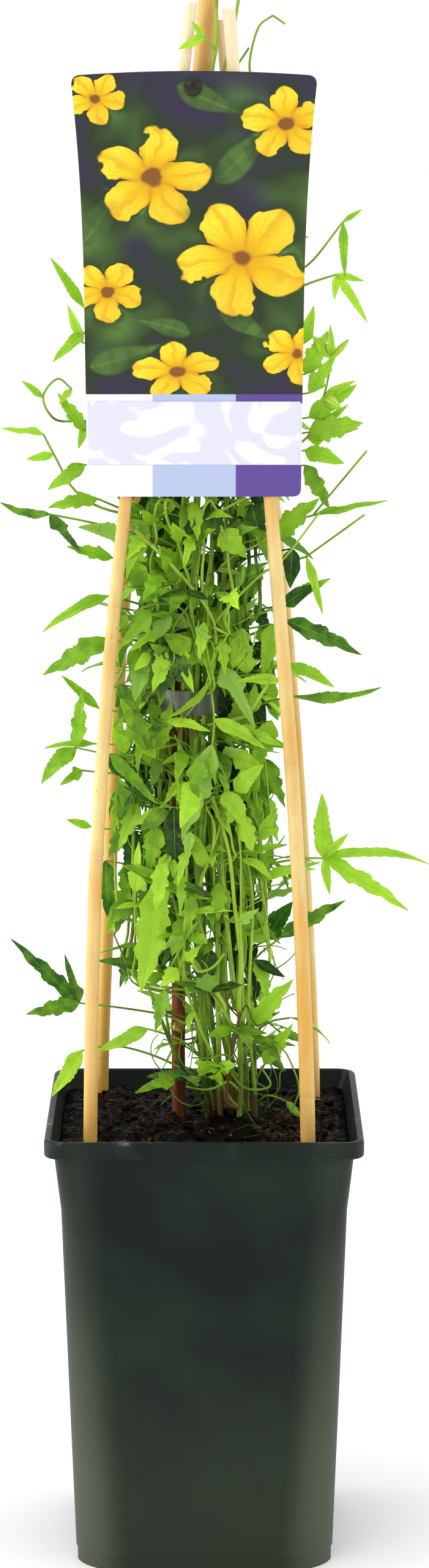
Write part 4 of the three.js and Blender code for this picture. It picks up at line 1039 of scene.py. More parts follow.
# Print zones, in millimetres up from the card's lower edge and across from its middle.
BAND_TOP = 15.2
STRIP_FOOT = 44.6
PICTURE_FOOT = 49.0
BAND_EDGES = (-20.0, 20.0)


def painted_blossom(paint, behind, across, up, x, y, radius, turn, squash, look):
    """One open blossom of five petals, over what lies behind it."""
    right = paint.over(paint.minus(across, x), radius)
    high = paint.over(paint.over(paint.minus(up, y), radius), squash)
    place = paint.node("CombineXYZ", {0: right, 1: high, 2: radius}).outputs[0]
    ripple = paint.noise(2.2, place=place)
    squares = paint.plus(paint.times(right, right), paint.times(high, high))
    reach = paint.plus(paint.calc("SQRT", squares), paint.span(ripple, 0.3, 0.7, -0.05, 0.05))
    angle = paint.plus(paint.calc("ARCTAN2", high, right), turn)
    angle = paint.plus(angle, paint.span(ripple, 0.3, 0.7, -0.12, 0.12))
    wave = paint.calc("ABSOLUTE", paint.calc("COSINE", paint.times(angle, 2.5)))
    edge = paint.plus(paint.times(paint.calc("POWER", wave, 0.55), 0.66), 0.34)
    inside = paint.over(reach, edge)
    fold = paint.times(paint.span(wave, 0.96, 1), paint.span(reach, 0.2, 0.5, 0, 0.5))
    streak = paint.calc("SINE", paint.times(angle, 40))
    petal = paint.coats(
        paint.ramp(reach, (0.1, look.petal_shade), (0.45, look.petal), (0.8, look.petal_edge),
                   (1, look.petal)),
        (fold, look.petal_shade),
        (paint.span(wave, 0.55, 0, 0, 0.9), look.petal_shade),
        (paint.span(streak, -0.2, 1, 0, 0.18), look.petal_shade),
        (paint.span(paint.minus(high, right), -1.2, 1.2, 0.3, 0), look.petal_shade),
        (paint.span(reach, 0.2, 0.12), look.petal_heart),
    )
    shadow = paint.span(inside, 1.5, 0.95, 0, 0.75)
    return paint.coats(behind, (shadow, look.dark), (paint.span(inside, 1, 0.95), petal))


def painted_leaf(paint, behind, across, up, x, y, length, turn, bright, look):
    """One pointed leaf, out of focus, over what lies behind it."""
    right, high = paint.minus(across, x), paint.minus(up, y)
    along = paint.plus(paint.times(right, cos(turn)), paint.times(high, sin(turn)))
    off = paint.minus(paint.times(high, cos(turn)), paint.times(right, sin(turn)))
    along, off = paint.over(along, length), paint.over(off, length)
    off = paint.minus(off, paint.times(paint.times(along, along), 0.12))
    off = paint.calc("ABSOLUTE", off)
    half = paint.calc("MAXIMUM", paint.times(along, paint.minus(1, along)), 0)
    half = paint.times(paint.calc("SQRT", half), paint.span(along, 1, 0.1, 0.05, 0.4))
    lines = paint.calc("SINE", paint.times(along, 30))
    leaf = paint.coats(
        paint.mix(bright, look.leaf, look.bright),
        (paint.span(off, 0.03, 0, 0, 0.5), look.bright),
        (paint.span(lines, 0, 1, 0, 0.2), look.dark),
    )
    return paint.mix(paint.span(paint.minus(half, off), -0.005, 0.045), behind, leaf)


def print_finish(look):
    """The card's front: yellow blossoms over blurred leaves, and plain bands below."""
    skin = Finish("card_print", specular_ior_level=0.3, roughness=0.4)
    across, along = skin.uv()
    place = skin.node("CombineXYZ", {0: across, 1: along}).outputs[0]
    moved = skin.node("Mapping", {0: place, 1: (40, 12, 3)}).outputs[0]
    blur, glow = skin.noise(0.03, 1, 0.4, place), skin.noise(0.022, 1, 0.3, moved)
    stops = (0.3, look.violet), (0.46, look.dark), (0.6, look.leaf), (0.78, look.bright)
    colour = skin.coats(
        skin.ramp(blur, *stops),
        (skin.span(glow, 0.5, 0.66, 0, 0.8), look.violet),
        (skin.span(along, 180, 203, 0, 0.8), look.violet),
    )
    for painted, spots in ((painted_leaf, PRINTED_LEAVES), (painted_blossom, BLOSSOMS)):
        for spot in spots:
            colour = painted(skin, colour, across, along, *spot, look)

    def beyond(value, edge):
        return skin.calc("GREATER_THAN", value, edge)

    band = skin.coats(look.paper, (beyond(across, BAND_EDGES[0]), look.sky),
                      (beyond(across, BAND_EDGES[1]), look.purple))
    colour = skin.coats(band, (beyond(along, BAND_TOP), look.paper), (beyond(along, STRIP_FOOT), band),
                        (beyond(along, PICTURE_FOOT), colour))
    colour = skin.mix(skin.span(skin.noise(500, 3, 0.7), 0.68, 0.8, 0, 0.1), colour, look.paper)
    return skin.feed(colour, skin.bump((skin.noise(30), 0.35)))


def paper_finish(name, colour, shade):
    """Plain coated paper or card, with faint broad swirls and fibres."""
    skin = Finish(name, roughness=0.45)
    tint = skin.mix(skin.span(skin.noise(17, 0, 0.4, bend=5), 0.47, 0.53), colour, shade)
    return skin.feed(tint, skin.bump((skin.noise(900, 3, 0.6), 0.03)))


# ---- settings


def size(name, description, default, unit="LENGTH", **limits):
    """A property for a length in metres, or for a plain number where the unit is NONE."""
    return FloatProperty(name=name, description=description, default=default, unit=unit,
                         precision=4, **limits)


def count(name, description, default):
    """A property for a whole number."""
    return IntProperty(name=name, description=description, default=default, min=0)


def colour(name, part, red, green, blue):
    """A property for the colour of a part, given in the usual 0 to 255."""
    return FloatVectorProperty(name=name, description=f"Colour of {part}", size=4, min=0, max=1,
                               subtype="COLOR", default=srgb(red, green, blue))


class PotSettings(PropertyGroup):
    """The moulded container"""

    edge: size("Edge radius", "Roundness of the moulded edges", 0.0005)
    gloss: size("Roughness", "Lowest surface roughness", 0.34, "NONE", min=0, max=1)
    colour: colour("Plastic", "the plastic", 23, 38, 28)
    dark: colour("Shade", "the darkest plastic", 11, 20, 20)
    dusty: colour("Dust", "the film of dust", 50, 58, 44)
    # chalky wear that also serves as the painted highlight on the corner panels
    chalk: colour("Chalk", "the chalky wear on the corners", 104, 112, 92)
    speck: colour("Specks", "the light specks", 150, 160, 148)
    scuff: colour("Scuffs", "the worn rim", 190, 200, 190)


class SoilSettings(PropertyGroup):
    """The peat in the pot"""

    crumbs: count("Crumbs", "Loose crumbs on top", 260)
    chips: count("Chips", "Chips of bark on top", 26)
    fibres: count("Fibres", "Root fibres on top", 60)
    clod: size("Clods", "Height of the clods", 0.0042)
    colour: colour("Peat", "moist peat", 21, 18, 11)
    dark: colour("Wet peat", "the hollows", 7, 6, 4)
    dry: colour("Dry peat", "dry tops", 36, 27, 16)
    wood: colour("Wood", "woody bits", 54, 35, 20)
    bark: colour("Bark", "bark chips", 74, 48, 26)
    straw: colour("Straw", "the palest fibres", 118, 98, 54)


class CaneSettings(PropertyGroup):
    """The four bamboo canes and the stake"""

    knot: size("Knots", "How far the knots stand out", 0.00012)
    sides: count("Sides", "Faces round a cane", 20)
    pale: colour("Pale bamboo", "the palest cane", 232, 208, 144)
    colour: colour("Bamboo", "the canes", 222, 188, 116)
    bleached: colour("Bleached bamboo", "the dry tops", 246, 230, 196)
    golden: colour("Golden bamboo", "ripe bamboo", 218, 164, 70)
    fibre: colour("Fibres", "the fibres", 184, 140, 82)
    speck: colour("Specks", "dark specks", 72, 50, 32)
    knot_colour: colour("Knot", "the bloom round a knot", 160, 124, 80)


class StakeSettings(PropertyGroup):
    """The brown stake beside the stems"""

    colour: colour("Bark", "the bark", 122, 62, 34)
    dark: colour("Dark bark", "the grooves", 66, 32, 18)
    light: colour("Light bark", "the ridges", 166, 100, 60)
    cut: colour("Cut shoot", "the cut shoot's green bark", 162, 176, 58)


class TieSettings(PropertyGroup):
    """The clear tie round the stems, and the strap and stud at the cane tops"""

    height: size("Tie height", "Middle of the stem tie", 0.428)
    band: size("Tie band", "Width of the stem tie", 0.012)
    wall: size("Tie thickness", "Thickness of the stem tie", 0.0009)
    strap_height: size("Strap height", "Middle of the cane strap", 0.726)
    strap_band: size("Strap band", "Width of the cane strap", 0.011)
    strap_wall: size("Strap thickness", "Thickness of the cane strap", 0.0012)
    colour: colour("Tape", "the tape", 108, 118, 88)
    shade: colour("Tape shade", "its folds", 84, 94, 66)
    light: colour("Tape light", "its ribs", 138, 148, 114)
    strap_colour: colour("Strap", "the strap and stud", 46, 50, 32)
    strap_dark: colour("Strap shade", "the darkest strap", 16, 17, 12)


class TagSettings(PropertyGroup):
    """The picture card and its label"""

    thick: size("Card thickness", "Thickness of the card", 0.0008)
    label_thick: size("Label thickness", "Thickness of the label", 0.0003)
    violet: colour("Violet", "the violet shade", 48, 38, 66)
    dark: colour("Dark green", "the darkest printed leaves", 36, 52, 24)
    leaf: colour("Leaf green", "the printed leaves", 64, 92, 38)
    bright: colour("Bright green", "the brightest printed leaves", 96, 136, 56)
    petal: colour("Petal", "the petals", 240, 206, 20)
    petal_edge: colour("Petal edge", "the petals' edges", 248, 220, 52)
    petal_shade: colour("Petal shade", "the petals' folds", 212, 150, 8)
    petal_heart: colour("Flower heart", "the middle of a blossom", 132, 82, 26)
    paper: colour("White", "the card's white", 232, 232, 238)
    sky: colour("Light blue", "the light blue band", 176, 188, 220)
    purple: colour("Purple", "the purple band", 92, 70, 146)
    label: colour("Label", "the label", 214, 214, 230)


class PlantSettings(PropertyGroup):
    """The clematis"""

    seed: count("Seed", "Start of the random draws", 5)
    glow: size("Glow", "How much light passes through a leaf", 0.3, "NONE", min=0, max=1)
    midrib: size("Midrib", "Width of the midrib as a share of the blade", 0.05, "NONE")
    small_step: size("Small sprays", "Distance between small sprays on a stem", 0.013)
    tendrils: size("Tendrils", "How many small sprays have a tendril", 0.6, "NONE", min=0, max=1)
    twiners: count("Twiners", "Slanting shoots for each stem", 3)
    # painted shade: the dark colour given to leaves in the shade inside the bundle
    deep: colour("Inner leaf", "the leaves inside the bundle", 24, 48, 12)
    dark: colour("Old leaf", "the oldest leaves", 48, 88, 20)
    middle: colour("Leaf", "most leaves", 132, 178, 32)
    young: colour("Young leaf", "the youngest leaves", 178, 226, 54)
    vein: colour("Veins", "the veins", 158, 196, 82)
    dry: colour("Dry patches", "dry patches and margins", 122, 84, 44)
    under_dark: colour("Underside shade", "the darkest undersides", 112, 160, 56)
    under_light: colour("Underside", "the palest undersides", 158, 200, 84)
    stalk: colour("Stalk", "the stalks", 150, 194, 52)
    stalk_dark: colour("Old stalk", "old stems", 54, 80, 20)
    stalk_young: colour("Young stalk", "young stalks", 190, 228, 78)
    stalk_brown: colour("Brown stalk", "the stems' brown patches", 124, 84, 50)


class StageSettings(PropertyGroup):
    """Floor, lights and camera"""

    camera_height: size("Camera height", "Height of the camera", 0.747)
    camera_distance: size("Camera distance", "Distance of the camera in front", 2.095)
    camera_side: size("Camera side", "How far the camera stands to the right", 0.00508)
    lens: size("Lens", "Focal length in millimetres", 98.5, "NONE")
    floor: colour("Floor", "the floor", 250, 250, 250)
    sky: colour("Surroundings", "the white surroundings", 255, 255, 255)
    sky_strength: size("Surroundings", "Their brightness", 1.0, "NONE")
    overhead: size("Overhead", "Strength of the soft overhead light", 0.22, "NONE")
    key: size("Key", "Power of the key light in watts", 8.5, "NONE")


# ---- pot and soil


# The pot: [width, corner, how flat the corner is cut, height], in millimetres, from the floor up
# the outside and down the inside.
POT_RINGS = (
    (126.6, 17.3, 0.35, 0), (126.6, 17.3, 0.35, 6), (126.9, 17.4, 0.35, 6.9), (128, 18, 0.35, 7.5),
    (129.5, 16.7, 0.35, 30), (133.7, 13.4, 0.35, 90), (137.7, 10, 0.35, 150), (140, 7.2, 0.35, 185),
    (143.8, 6.4, 0.15, 202), (146, 6, 0, 212.7), (146.4, 6, 0, 213.5), (155, 9.5, 0, 213.5),
    (155.7, 9.8, 0, 213.9), (156, 10, 0, 214.6), (156, 10, 0, 220.3), (155.5, 9.8, 0, 221.3),
    (154.2, 9.2, 0, 221.9), (153, 8.5, 0, 222), (151, 7.5, 0, 222), (149.4, 6.7, 0, 221.6),
    (149, 6.5, 0, 220.5), (143.5, 5, 0, 212), (137, 6.2, 0.35, 185), (125, 16.5, 0.35, 2.4),
)
POT_CORNER_STEPS = 10
DRAIN_COUNT = 8
DRAIN_RING = 40  # millimetres
DRAIN_RADIUS = 4.5
POT_EDGE_TURN = 11  # degrees by which faces turn at an edge that is rounded


class CLEMATIS_OT_pot(Operator):
    """Models the square pot, with its foot, rim and drainage holes"""

    bl_idname = "clematis.pot"
    bl_label = "Pot"

    def execute(self, context):
        look = context.scene.clematis_pot
        pot = solid([rounded_square(*ring) for ring in POT_RINGS])
        drains = level_ring(0, 0, 0, DRAIN_RING, 2 * DRAIN_COUNT)[1::2]
        drilled(pot, drains, DRAIN_RADIUS * MM, DRILL_DEPTH, 24)
        bevelled(pot, look.edge, POT_EDGE_TURN)
        dress(pot, "pot_body", "pot_plastic", [pot_finish(look)], ["pot"], smooth=28)
        return {"FINISHED"}


SOIL_EDGE = 213  # millimetres
SOIL_WIDTH = 142
SOIL_CORNER = 5
SOIL_CELLS = 130
# The soil's sides below its surface: [width, corner, how flat it is cut, height].
SOIL_FOOT = ((141.6, 5, 0, 209), (136.2, 6, 0.35, 185), (124.2, 16.5, 0.35, 2.8))


def in_square(x, y, width, corner, flat):
    """Pulls a place in until it lies inside a square with pressed corners, in millimetres."""
    inner = width / 2 - corner
    past_x, past_y = abs(x) - inner, abs(y) - inner
    if past_x <= 0 or past_y <= 0:
        return x, y
    past = hypot(past_x, past_y)
    reach = corner * (1 - flat + flat * past / (past_x + past_y))
    if past <= reach:
        return x, y
    x = copysign(inner + past_x * reach / past, x)
    y = copysign(inner + past_y * reach / past, y)
    return x, y


def soil_top(x, y, clod):
    """Where a place of the flat grid goes on the soil's surface."""
    x, y = in_square(x, y, SOIL_WIDTH, SOIL_CORNER, 0)
    return x, y, soil_height(x, y, clod)


def soil_side(x, y, width, corner, flat, height):
    """Where a place of the soil's rim goes on a lower ring of its side."""
    grow = width / 2 / max(abs(x), abs(y))
    return *in_square(x * grow, y * grow, width, corner, flat), height


def soil_height(x, y, clod):
    """Height of the soil's surface, from places in millimetres and clods in metres."""
    share = min(max(abs(x), abs(y)) / (SOIL_WIDTH / 2), 1)
    place = Vector((x, y, 0)) / 10
    height = SOIL_EDGE + 4 * (1 - share**2)
    near = noise.voronoi(place * 1.15)[0]
    height += (0.55 - near[0]) * clod / MM
    height += noise.fractal(place * 2.2, 0.9, 2.1, 4) * 0.9
    height += noise.noise(place * 0.35) * 1.8
    return height - 1.6 * max(share - 0.93, 0) / 0.07


class CLEMATIS_OT_soil(Operator):
    """Models the crumbly peat that fills the pot, with bark chips and fibres on top"""

    bl_idname = "clematis.soil"
    bl_label = "Soil"

    def execute(self, context):
        look = context.scene.clematis_soil
        bpy.ops.object.select_all(action="DESELECT")
        bpy.ops.mesh.primitive_grid_add(
            x_subdivisions=SOIL_CELLS, y_subdivisions=SOIL_CELLS, size=SOIL_WIDTH * MM)
        soil = context.object
        bpy.ops.object.mode_set(mode="EDIT")
        bpy.ops.mesh.select_all(action="SELECT")

        def move_selected(place_of, *shape):
            mesh = bmesh.from_edit_mesh(soil.data)
            for vertex in mesh.verts:
                if vertex.select:
                    vertex.co = Vector(place_of(vertex.co.x / MM, vertex.co.y / MM, *shape)) * MM
            bmesh.update_edit_mesh(soil.data)

        move_selected(soil_top, look.clod)
        bpy.ops.mesh.region_to_loop()
        for ring in SOIL_FOOT:
            bpy.ops.mesh.extrude_region_move()
            move_selected(soil_side, *ring)
        bpy.ops.mesh.edge_face_add()
        outward(soil)
        dress(soil, "soil_block", "peat", [soil_finish(look)], ["soil"], smooth=60)
        self.litter(look)
        return {"FINISHED"}

    def litter(self, look):
        """Crumbs, chips and fibres that lie on the soil."""
        draws = Draws(LITTER_SEED)
        litter = Surfaces()
        for _ in range(look.crumbs):
            place = scattered(draws, CRUMB_REACH)
            crumb(litter, *place, draws.triangular(0.7, 3.2, 1.1), draws(0, 0.35), draws, look)
        for _ in range(look.chips):
            place = scattered(draws, CHIP_REACH)
            chip(litter, *place, draws(2, 5.5), draws(0.35, 0.85), draws, look)
        for place_and_tone in LITTER_CHIPS:
            chip(litter, *place_and_tone, draws, look)
        for _ in range(look.fibres):
            fibre(litter, *scattered(draws, FIBRE_REACH), draws, look)
        finish = litter_finish(look)
        dress(litter.piece("soil_litter", [finish]), "soil_litter", "peat", [finish], smooth=50)


LITTER_SEED = 3
CRUMB_REACH = 64  # millimetres from the middle of the soil
CHIP_REACH = 62
FIBRE_REACH = 60
# Chips that lie at chosen places: [x, y, length, tone], in millimetres.
LITTER_CHIPS = ((-40, -52, 7, 0.75), (13, -40, 4, 0.95), (-47, 30, 6, 0.6), (3, -30, 6, 0.55))
CRUMB_RINGS = ((-0.9, 0.45), (-0.35, 0.95), (0.3, 1.0), (0.85, 0.55))


def scattered(draws, reach):
    """A place drawn inside a square round the middle of the soil."""
    return draws(-reach, reach), draws(-reach, reach)


def crumb(surfaces, x, y, radius, tone, draws, look):
    """One lump of peat, half sunk in the soil."""
    z = soil_height(x, y, look.clod) + radius * 0.35
    lean = np.array([draws(-0.3, 0.3), draws(-0.3, 0.3), 1]) * radius * 0.8
    path = np.array([np.array([x, y, z]) + lean * level for level, _ in CRUMB_RINGS])
    reach = [radius * share * draws(0.7, 1.25) for _, share in CRUMB_RINGS]
    tube(surfaces, path, reach, 7, tone, ribs=draws(-0.15, 0.15))


def chip(surfaces, x, y, length, tone, draws, look):
    """A flat chip of bark that lies on the soil."""
    angle = draws(0, tau)
    along = np.array([cos(angle), sin(angle), draws(-0.15, 0.25)])
    side = unit(np.cross(along, UP))
    up = np.cross(side, along)
    centre = np.array([x, y, soil_height(x, y, look.clod) + 0.9])
    wide, thick = length * draws(0.25, 0.5), draws(0.5, 0.9)
    places = []
    for level in (-0.5, 0.5):
        for turn in np.arange(6) * tau / 6:
            out = along * cos(turn) * length / 2 + side * sin(turn) * wide / 2
            places.append(centre + out * draws(0.75, 1.1) + up * level * thick)
    faces = [*grid_faces(2, 6, True), (2, 1, 0, 5), (2, 5, 4, 3), (6, 7, 8, 11), (8, 9, 10, 11)]
    surfaces.add(np.array(places), faces, np.zeros((12, 2)), tone)


def fibre(surfaces, x, y, draws, look):
    """A thin root fibre that arches over the soil."""
    length, angle = draws(5, 18), draws(0, tau)
    points = []
    for share in np.arange(5) / 4 - 0.5:
        px = x + cos(angle) * length * share + draws(-1.2, 1.2)
        py = y + sin(angle) * length * share + draws(-1.2, 1.2)
        px, py = min(max(px, -66), 66), min(max(py, -66), 66)
        lift = draws(0.4, 1.6) * (1 - abs(2 * share)) + 0.3
        points.append((px, py, soil_height(px, py, look.clod) + lift))
    radius = draws(0.12, 0.32)
    tube(surfaces, smooth_path(points, 4), radius, 5, draws(0.35, 1.0))


# ---- canes and stake


CANE_LEVELS = 22  # level rings up each cane, besides those of its knots
CANE_BORE = 0.42  # a cane's bore as a share of its radius
BORE_DEPTH = 12  # millimetres
KNOT_ROOM = 8  # no other ring lies this near to a knot
KNOT_BLOOM = 4  # how far its colour reaches


def cane_rings(table, knots, swell, sides):
    """Rings up one cane, with each knot's groove and ridge, and how much each ring is knot."""
    heights = set(np.linspace(table[0][0], table[-1][0], CANE_LEVELS).tolist())
    for knot in knots:
        heights = {h for h in heights if abs(h - knot) > KNOT_ROOM}
        heights.update(knot + off for off, _ in KNOT_PROFILE)
    rings, marks = [], []
    for height in sorted(heights):
        x, y, radius = along_height(table, height)
        off = min((height - knot for knot in knots), key=abs)
        share = float(np.interp(off, *zip(*KNOT_PROFILE)))
        rings.append(level_ring(x, y, height, radius + share * swell / MM, sides))
        marks.append(abs(share) if abs(off) < KNOT_BLOOM else 0.0)
    return rings, marks


# A knot's profile: [height from its middle in millimetres, share of its swell].
KNOT_PROFILE = (
    (-9, 0), (-5, 0.12), (-2.2, 0.45), (-0.9, 0.75), (-0.35, -0.35), (0.35, -0.2),
    (0.9, 0.9), (1.8, 1.0), (3.2, 0.5), (6, 0.12), (9, 0),
)


class CLEMATIS_OT_canes(Operator):
    """Models the four bamboo canes, with their knots and hollow tops"""

    bl_idname = "clematis.canes"
    bl_label = "Canes"

    def execute(self, context):
        look = context.scene.clematis_canes
        finishes = {
            "bamboo": bamboo_finish("bamboo", look, 0.0, 0.85, 0.0),
            "bamboo_golden": bamboo_finish("bamboo_golden", look, 0.8, 0.1, 0.4),
        }
        for name, table in CANES.items():
            rings, marks = cane_rings(table, CANE_KNOTS[name], look.knot, look.sides)
            heights = [ring[0][2] for ring in rings]
            top, x, y, radius = table[-1]
            for height, reach in ((top, CANE_BORE), (top - BORE_DEPTH, CANE_BORE * 0.9)):
                rings.append(level_ring(x, y, height, radius * reach, look.sides))
            cane = solid(rings)
            store(cane.data, "knot", np.interp([v.co.z for v in cane.data.vertices], heights, marks))
            slot = "bamboo_golden" if name == "cane_back_left" else "bamboo"
            dress(cane, name.replace("cane", "bamboo"), slot, [finishes[slot]], [name])
        return {"FINISHED"}


# The stub of a cut side shoot on the stake, in millimetres.
STUB_PATH = ((-13, -1, 259), (-13, -4, 262), (-12.6, -7, 265))
STUB_RADII = (2.2, 2.6, 2.9, 3.0, 3.2, 2.6, 2.4, 2.5, 2.3)
STUB_HEIGHT = 263.4
STUB_SWELL = 0.14  # shares of the stake's radius
BARK_RELIEF = 0.1
STAKE_LEVELS = 58
STAKE_SIDES = 18


class CLEMATIS_OT_stake(Operator):
    """Models the rough brown stake and the stub of a cut side shoot"""

    bl_idname = "clematis.stake"
    bl_label = "Stake"

    def execute(self, context):
        look = context.scene.clematis_stake
        x, y, radius = STAKE
        rings = []
        for height in np.linspace(*STAKE_ENDS, STAKE_LEVELS):
            knot = exp(-(((height - STUB_HEIGHT) / 4) ** 2))

            def bark(angle, height=height, knot=knot):
                place = Vector((cos(angle) * 1.3, sin(angle) * 1.3, height / 26))
                return noise.noise(place) * BARK_RELIEF - BARK_RELIEF / 2 + knot * STUB_SWELL

            rings.append(level_ring(x, y, height, radius, STAKE_SIDES, bark))
        rings.append(level_ring(x, y, STAKE_ENDS[1], radius * 0.6, STAKE_SIDES))
        stake = solid(rings)
        stake.data.materials.append(stake_finish(look))
        stub = Surfaces()
        tube(stub, smooth_path(STUB_PATH, 4), STUB_RADII, 12, 0.9, ribs=0.08)
        joined(stake, stub.piece("stub", [stub_finish(look)]))
        dress(stake, "stake_twig", "brown_wood", stake.data.materials[:], ["stake"], smooth=50)
        return {"FINISHED"}


# ---- tie, strap and stud


STRAP_DIRECTIONS = 48  # points round a strap
STRAP_EDGES = {"tie": 0.00025, "strap": 0.0003}  # metres, how round their edges are


def strap_outline(circles, off, directions):
    """The outline of a strap pulled tight round circles, as one point for each direction."""
    turn = tau / directions
    angles = np.arange(directions + 1) * turn
    x, y, radius = np.array(circles).T[:, :, None]
    reach = (x * np.cos(angles) + y * np.sin(angles) + radius).max(axis=0) + off
    a, b, near, far = angles[:-1], angles[1:], reach[:-1], reach[1:]
    across = (near * np.sin(b) - far * np.sin(a)) / sin(turn)
    deep = (far * np.cos(a) - near * np.cos(b)) / sin(turn)
    return list(zip(across.tolist(), deep.tolist()))


def strap_loop(circles, height, band, wall, edge):
    """A closed band round circles, in metres from circles in millimetres."""
    outline = strap_outline(circles, GAP + wall / MM, STRAP_DIRECTIONS)
    levels = [height + band * level for level in (-0.5, -0.46, 0.46, 0.5)]
    loop = outward(extruded([[(x * MM, y * MM, level) for x, y in outline] for level in levels]))
    thick = loop.modifiers.new("wall", "SOLIDIFY")
    thick.thickness, thick.offset = wall, -1
    return bevelled(loop, edge, 50)


def stem_radius(stem, height):
    """A stem's radius at a height, in millimetres."""
    root, top = STEM_RADII
    share = (height - STEM_ROOT) / (STEM_TOPS[stem] - STEM_ROOT)
    return root + (top - root) * share


# The two flaps of the tie's tail: reach, foot and top from the tie's middle, depth and bow.
TAIL_FLAPS = ((9.0, -5.6, 5.4, -1.6, 0.3), (8.2, -5.0, 3.2, -0.5, -0.5))
FLAP_HALF = 0.3  # millimetres
FLAP_ROWS, FLAP_STEPS = 6, 9


def tail_flap(left, height, reach, low, high, depth, bow):
    """One flap of the tail, a thin bowed sheet, in millimetres."""
    out = np.linspace(0, 1, FLAP_STEPS)
    out = np.concatenate([out, out[::-1]])
    level = np.linspace(low, high, FLAP_ROWS)[:, None]
    y = depth + bow * np.sin(out * pi) + 0.03 * level * out
    y = y + np.repeat([-FLAP_HALF, FLAP_HALF], FLAP_STEPS)
    x, z = np.broadcast_to(left + 0.6 - reach * out, y.shape), np.broadcast_to(height + level, y.shape)
    i, count = np.arange(FLAP_STEPS - 1), 2 * FLAP_STEPS
    end = np.stack([i, i + 1, count - 2 - i, count - 1 - i], axis=-1)
    walls = grid_faces(FLAP_ROWS, count, True)
    faces = np.concatenate([walls, end[:, ::-1], end + count * (FLAP_ROWS - 1)])
    flap = Surfaces()
    flap.add(np.stack([x, y, z], axis=-1).reshape(-1, 3), faces, np.zeros((y.size, 2)), 0.5)
    piece = flap.piece("tail", [])
    only(piece)
    bpy.ops.object.mode_set(mode="EDIT")
    return outward(piece)


class CLEMATIS_OT_stem_tie(Operator):
    """Models the clear tape round the stems, with its folded tail"""

    bl_idname = "clematis.stem_tie"
    bl_label = "Stem tie"

    def execute(self, context):
        look = context.scene.clematis_ties
        height, band = look.height / MM, look.band / MM
        circles = [STAKE]
        for level in (height - band / 2, height, height + band / 2):
            for stem in range(STEM_COUNT):
                circles.append((*stem_point(stem, level)[:2], stem_radius(stem, level)))
        tie = strap_loop(circles, look.height, look.band, look.wall, STRAP_EDGES["tie"])
        outline = strap_outline(circles, GAP + look.wall / MM, STRAP_DIRECTIONS // 2)
        left = min(x for x, _ in outline)
        joined(tie, *(tail_flap(left, height, *flap) for flap in TAIL_FLAPS))
        dress(tie, "stem_tie_tape", "tie_plastic", [tie_finish(look)], ["stem_tie"])
        return {"FINISHED"}


TAG = {
    "top": 734, "top_depth": -18.1, "length": 203, "bottom_depth": -38.15, "middle": -4.7,
    "half_top": 58.7, "half_waist": 52.8, "half_bottom": 51.4, "waist": 105, "swell": 0.8,
    "rise": 2.5, "shoulder": 2.1, "crown": 1.7, "corner": 4, "hole": 2.6,
}
LABEL = {"top": 157.5, "bottom": 187.5, "inset": 1}
LABEL_STEPS = 25  # places along each of its long edges
STUD_X = -5.3
STUD_HEIGHT = 726
TAG_LEAN = asin((TAG["top_depth"] - TAG["bottom_depth"]) / TAG["length"])


def on_card(piece):
    """Puts a piece drawn on the card, x across, y up from its lower edge, in its leaning plane."""
    only(piece)
    piece.rotation_euler = Euler((pi / 2 - TAG_LEAN, 0, 0))
    down = Vector((0, -TAG["length"], 0)) * MM
    down.rotate(piece.rotation_euler)
    piece.location = Vector((TAG["middle"], TAG["top_depth"], TAG["top"])) * MM + down
    bpy.ops.object.transform_apply(location=True, rotation=True, scale=True)


def stud_place():
    """Where the stud passes through the card, in millimetres on the card."""
    up = TAG["length"] - (TAG["top"] - STUD_HEIGHT) / cos(TAG_LEAN)
    return STUD_X - TAG["middle"], up


# The stud from the strap outwards: [height above the card's middle, radius], in millimetres.
STUD_PROFILE = (
    (-3.2, 2.0), (0.5, 2.0), (0.72, 3.9), (0.85, 4.2), (1.3, 4.25), (1.75, 4.05),
    (2.15, 3.5), (2.55, 2.6), (2.78, 1.9), (2.85, 1.5), (2.45, 1.3), (2.4, 0.5),
)


class CLEMATIS_OT_cane_strap(Operator):
    """Models the strap round the cane tops and the stud that holds the card"""

    bl_idname = "clematis.cane_strap"
    bl_label = "Cane strap and stud"

    def execute(self, context):
        look = context.scene.clematis_ties
        height, band = look.strap_height / MM, look.strap_band / MM
        circles = []
        for level in (height - band / 2, height, height + band / 2):
            circles += [tuple(along_height(table, level)) for table in CANES.values()]
        sizes = look.strap_height, look.strap_band, look.strap_wall
        strap = strap_loop(circles, *sizes, STRAP_EDGES["strap"])
        stud = solid([level_ring(*stud_place(), up, radius, 28) for up, radius in STUD_PROFILE])
        on_card(stud)
        joined(strap, stud)
        finish = strap_finish(look)
        dress(strap, "cane_strap_stud", "strap_plastic", [finish], ["cane_strap"], smooth=35)
        return {"FINISHED"}


# ---- tag


def quadratic(a, b, c, steps):
    """Points along a quadratic curve, without its start."""
    t = (np.arange(steps) + 1)[:, None] / steps
    a, b, c = np.array([a, b, c], float)
    return [tuple(p) for p in (a * (1 - t) ** 2 + b * 2 * t * (1 - t) + c * t * t).tolist()]


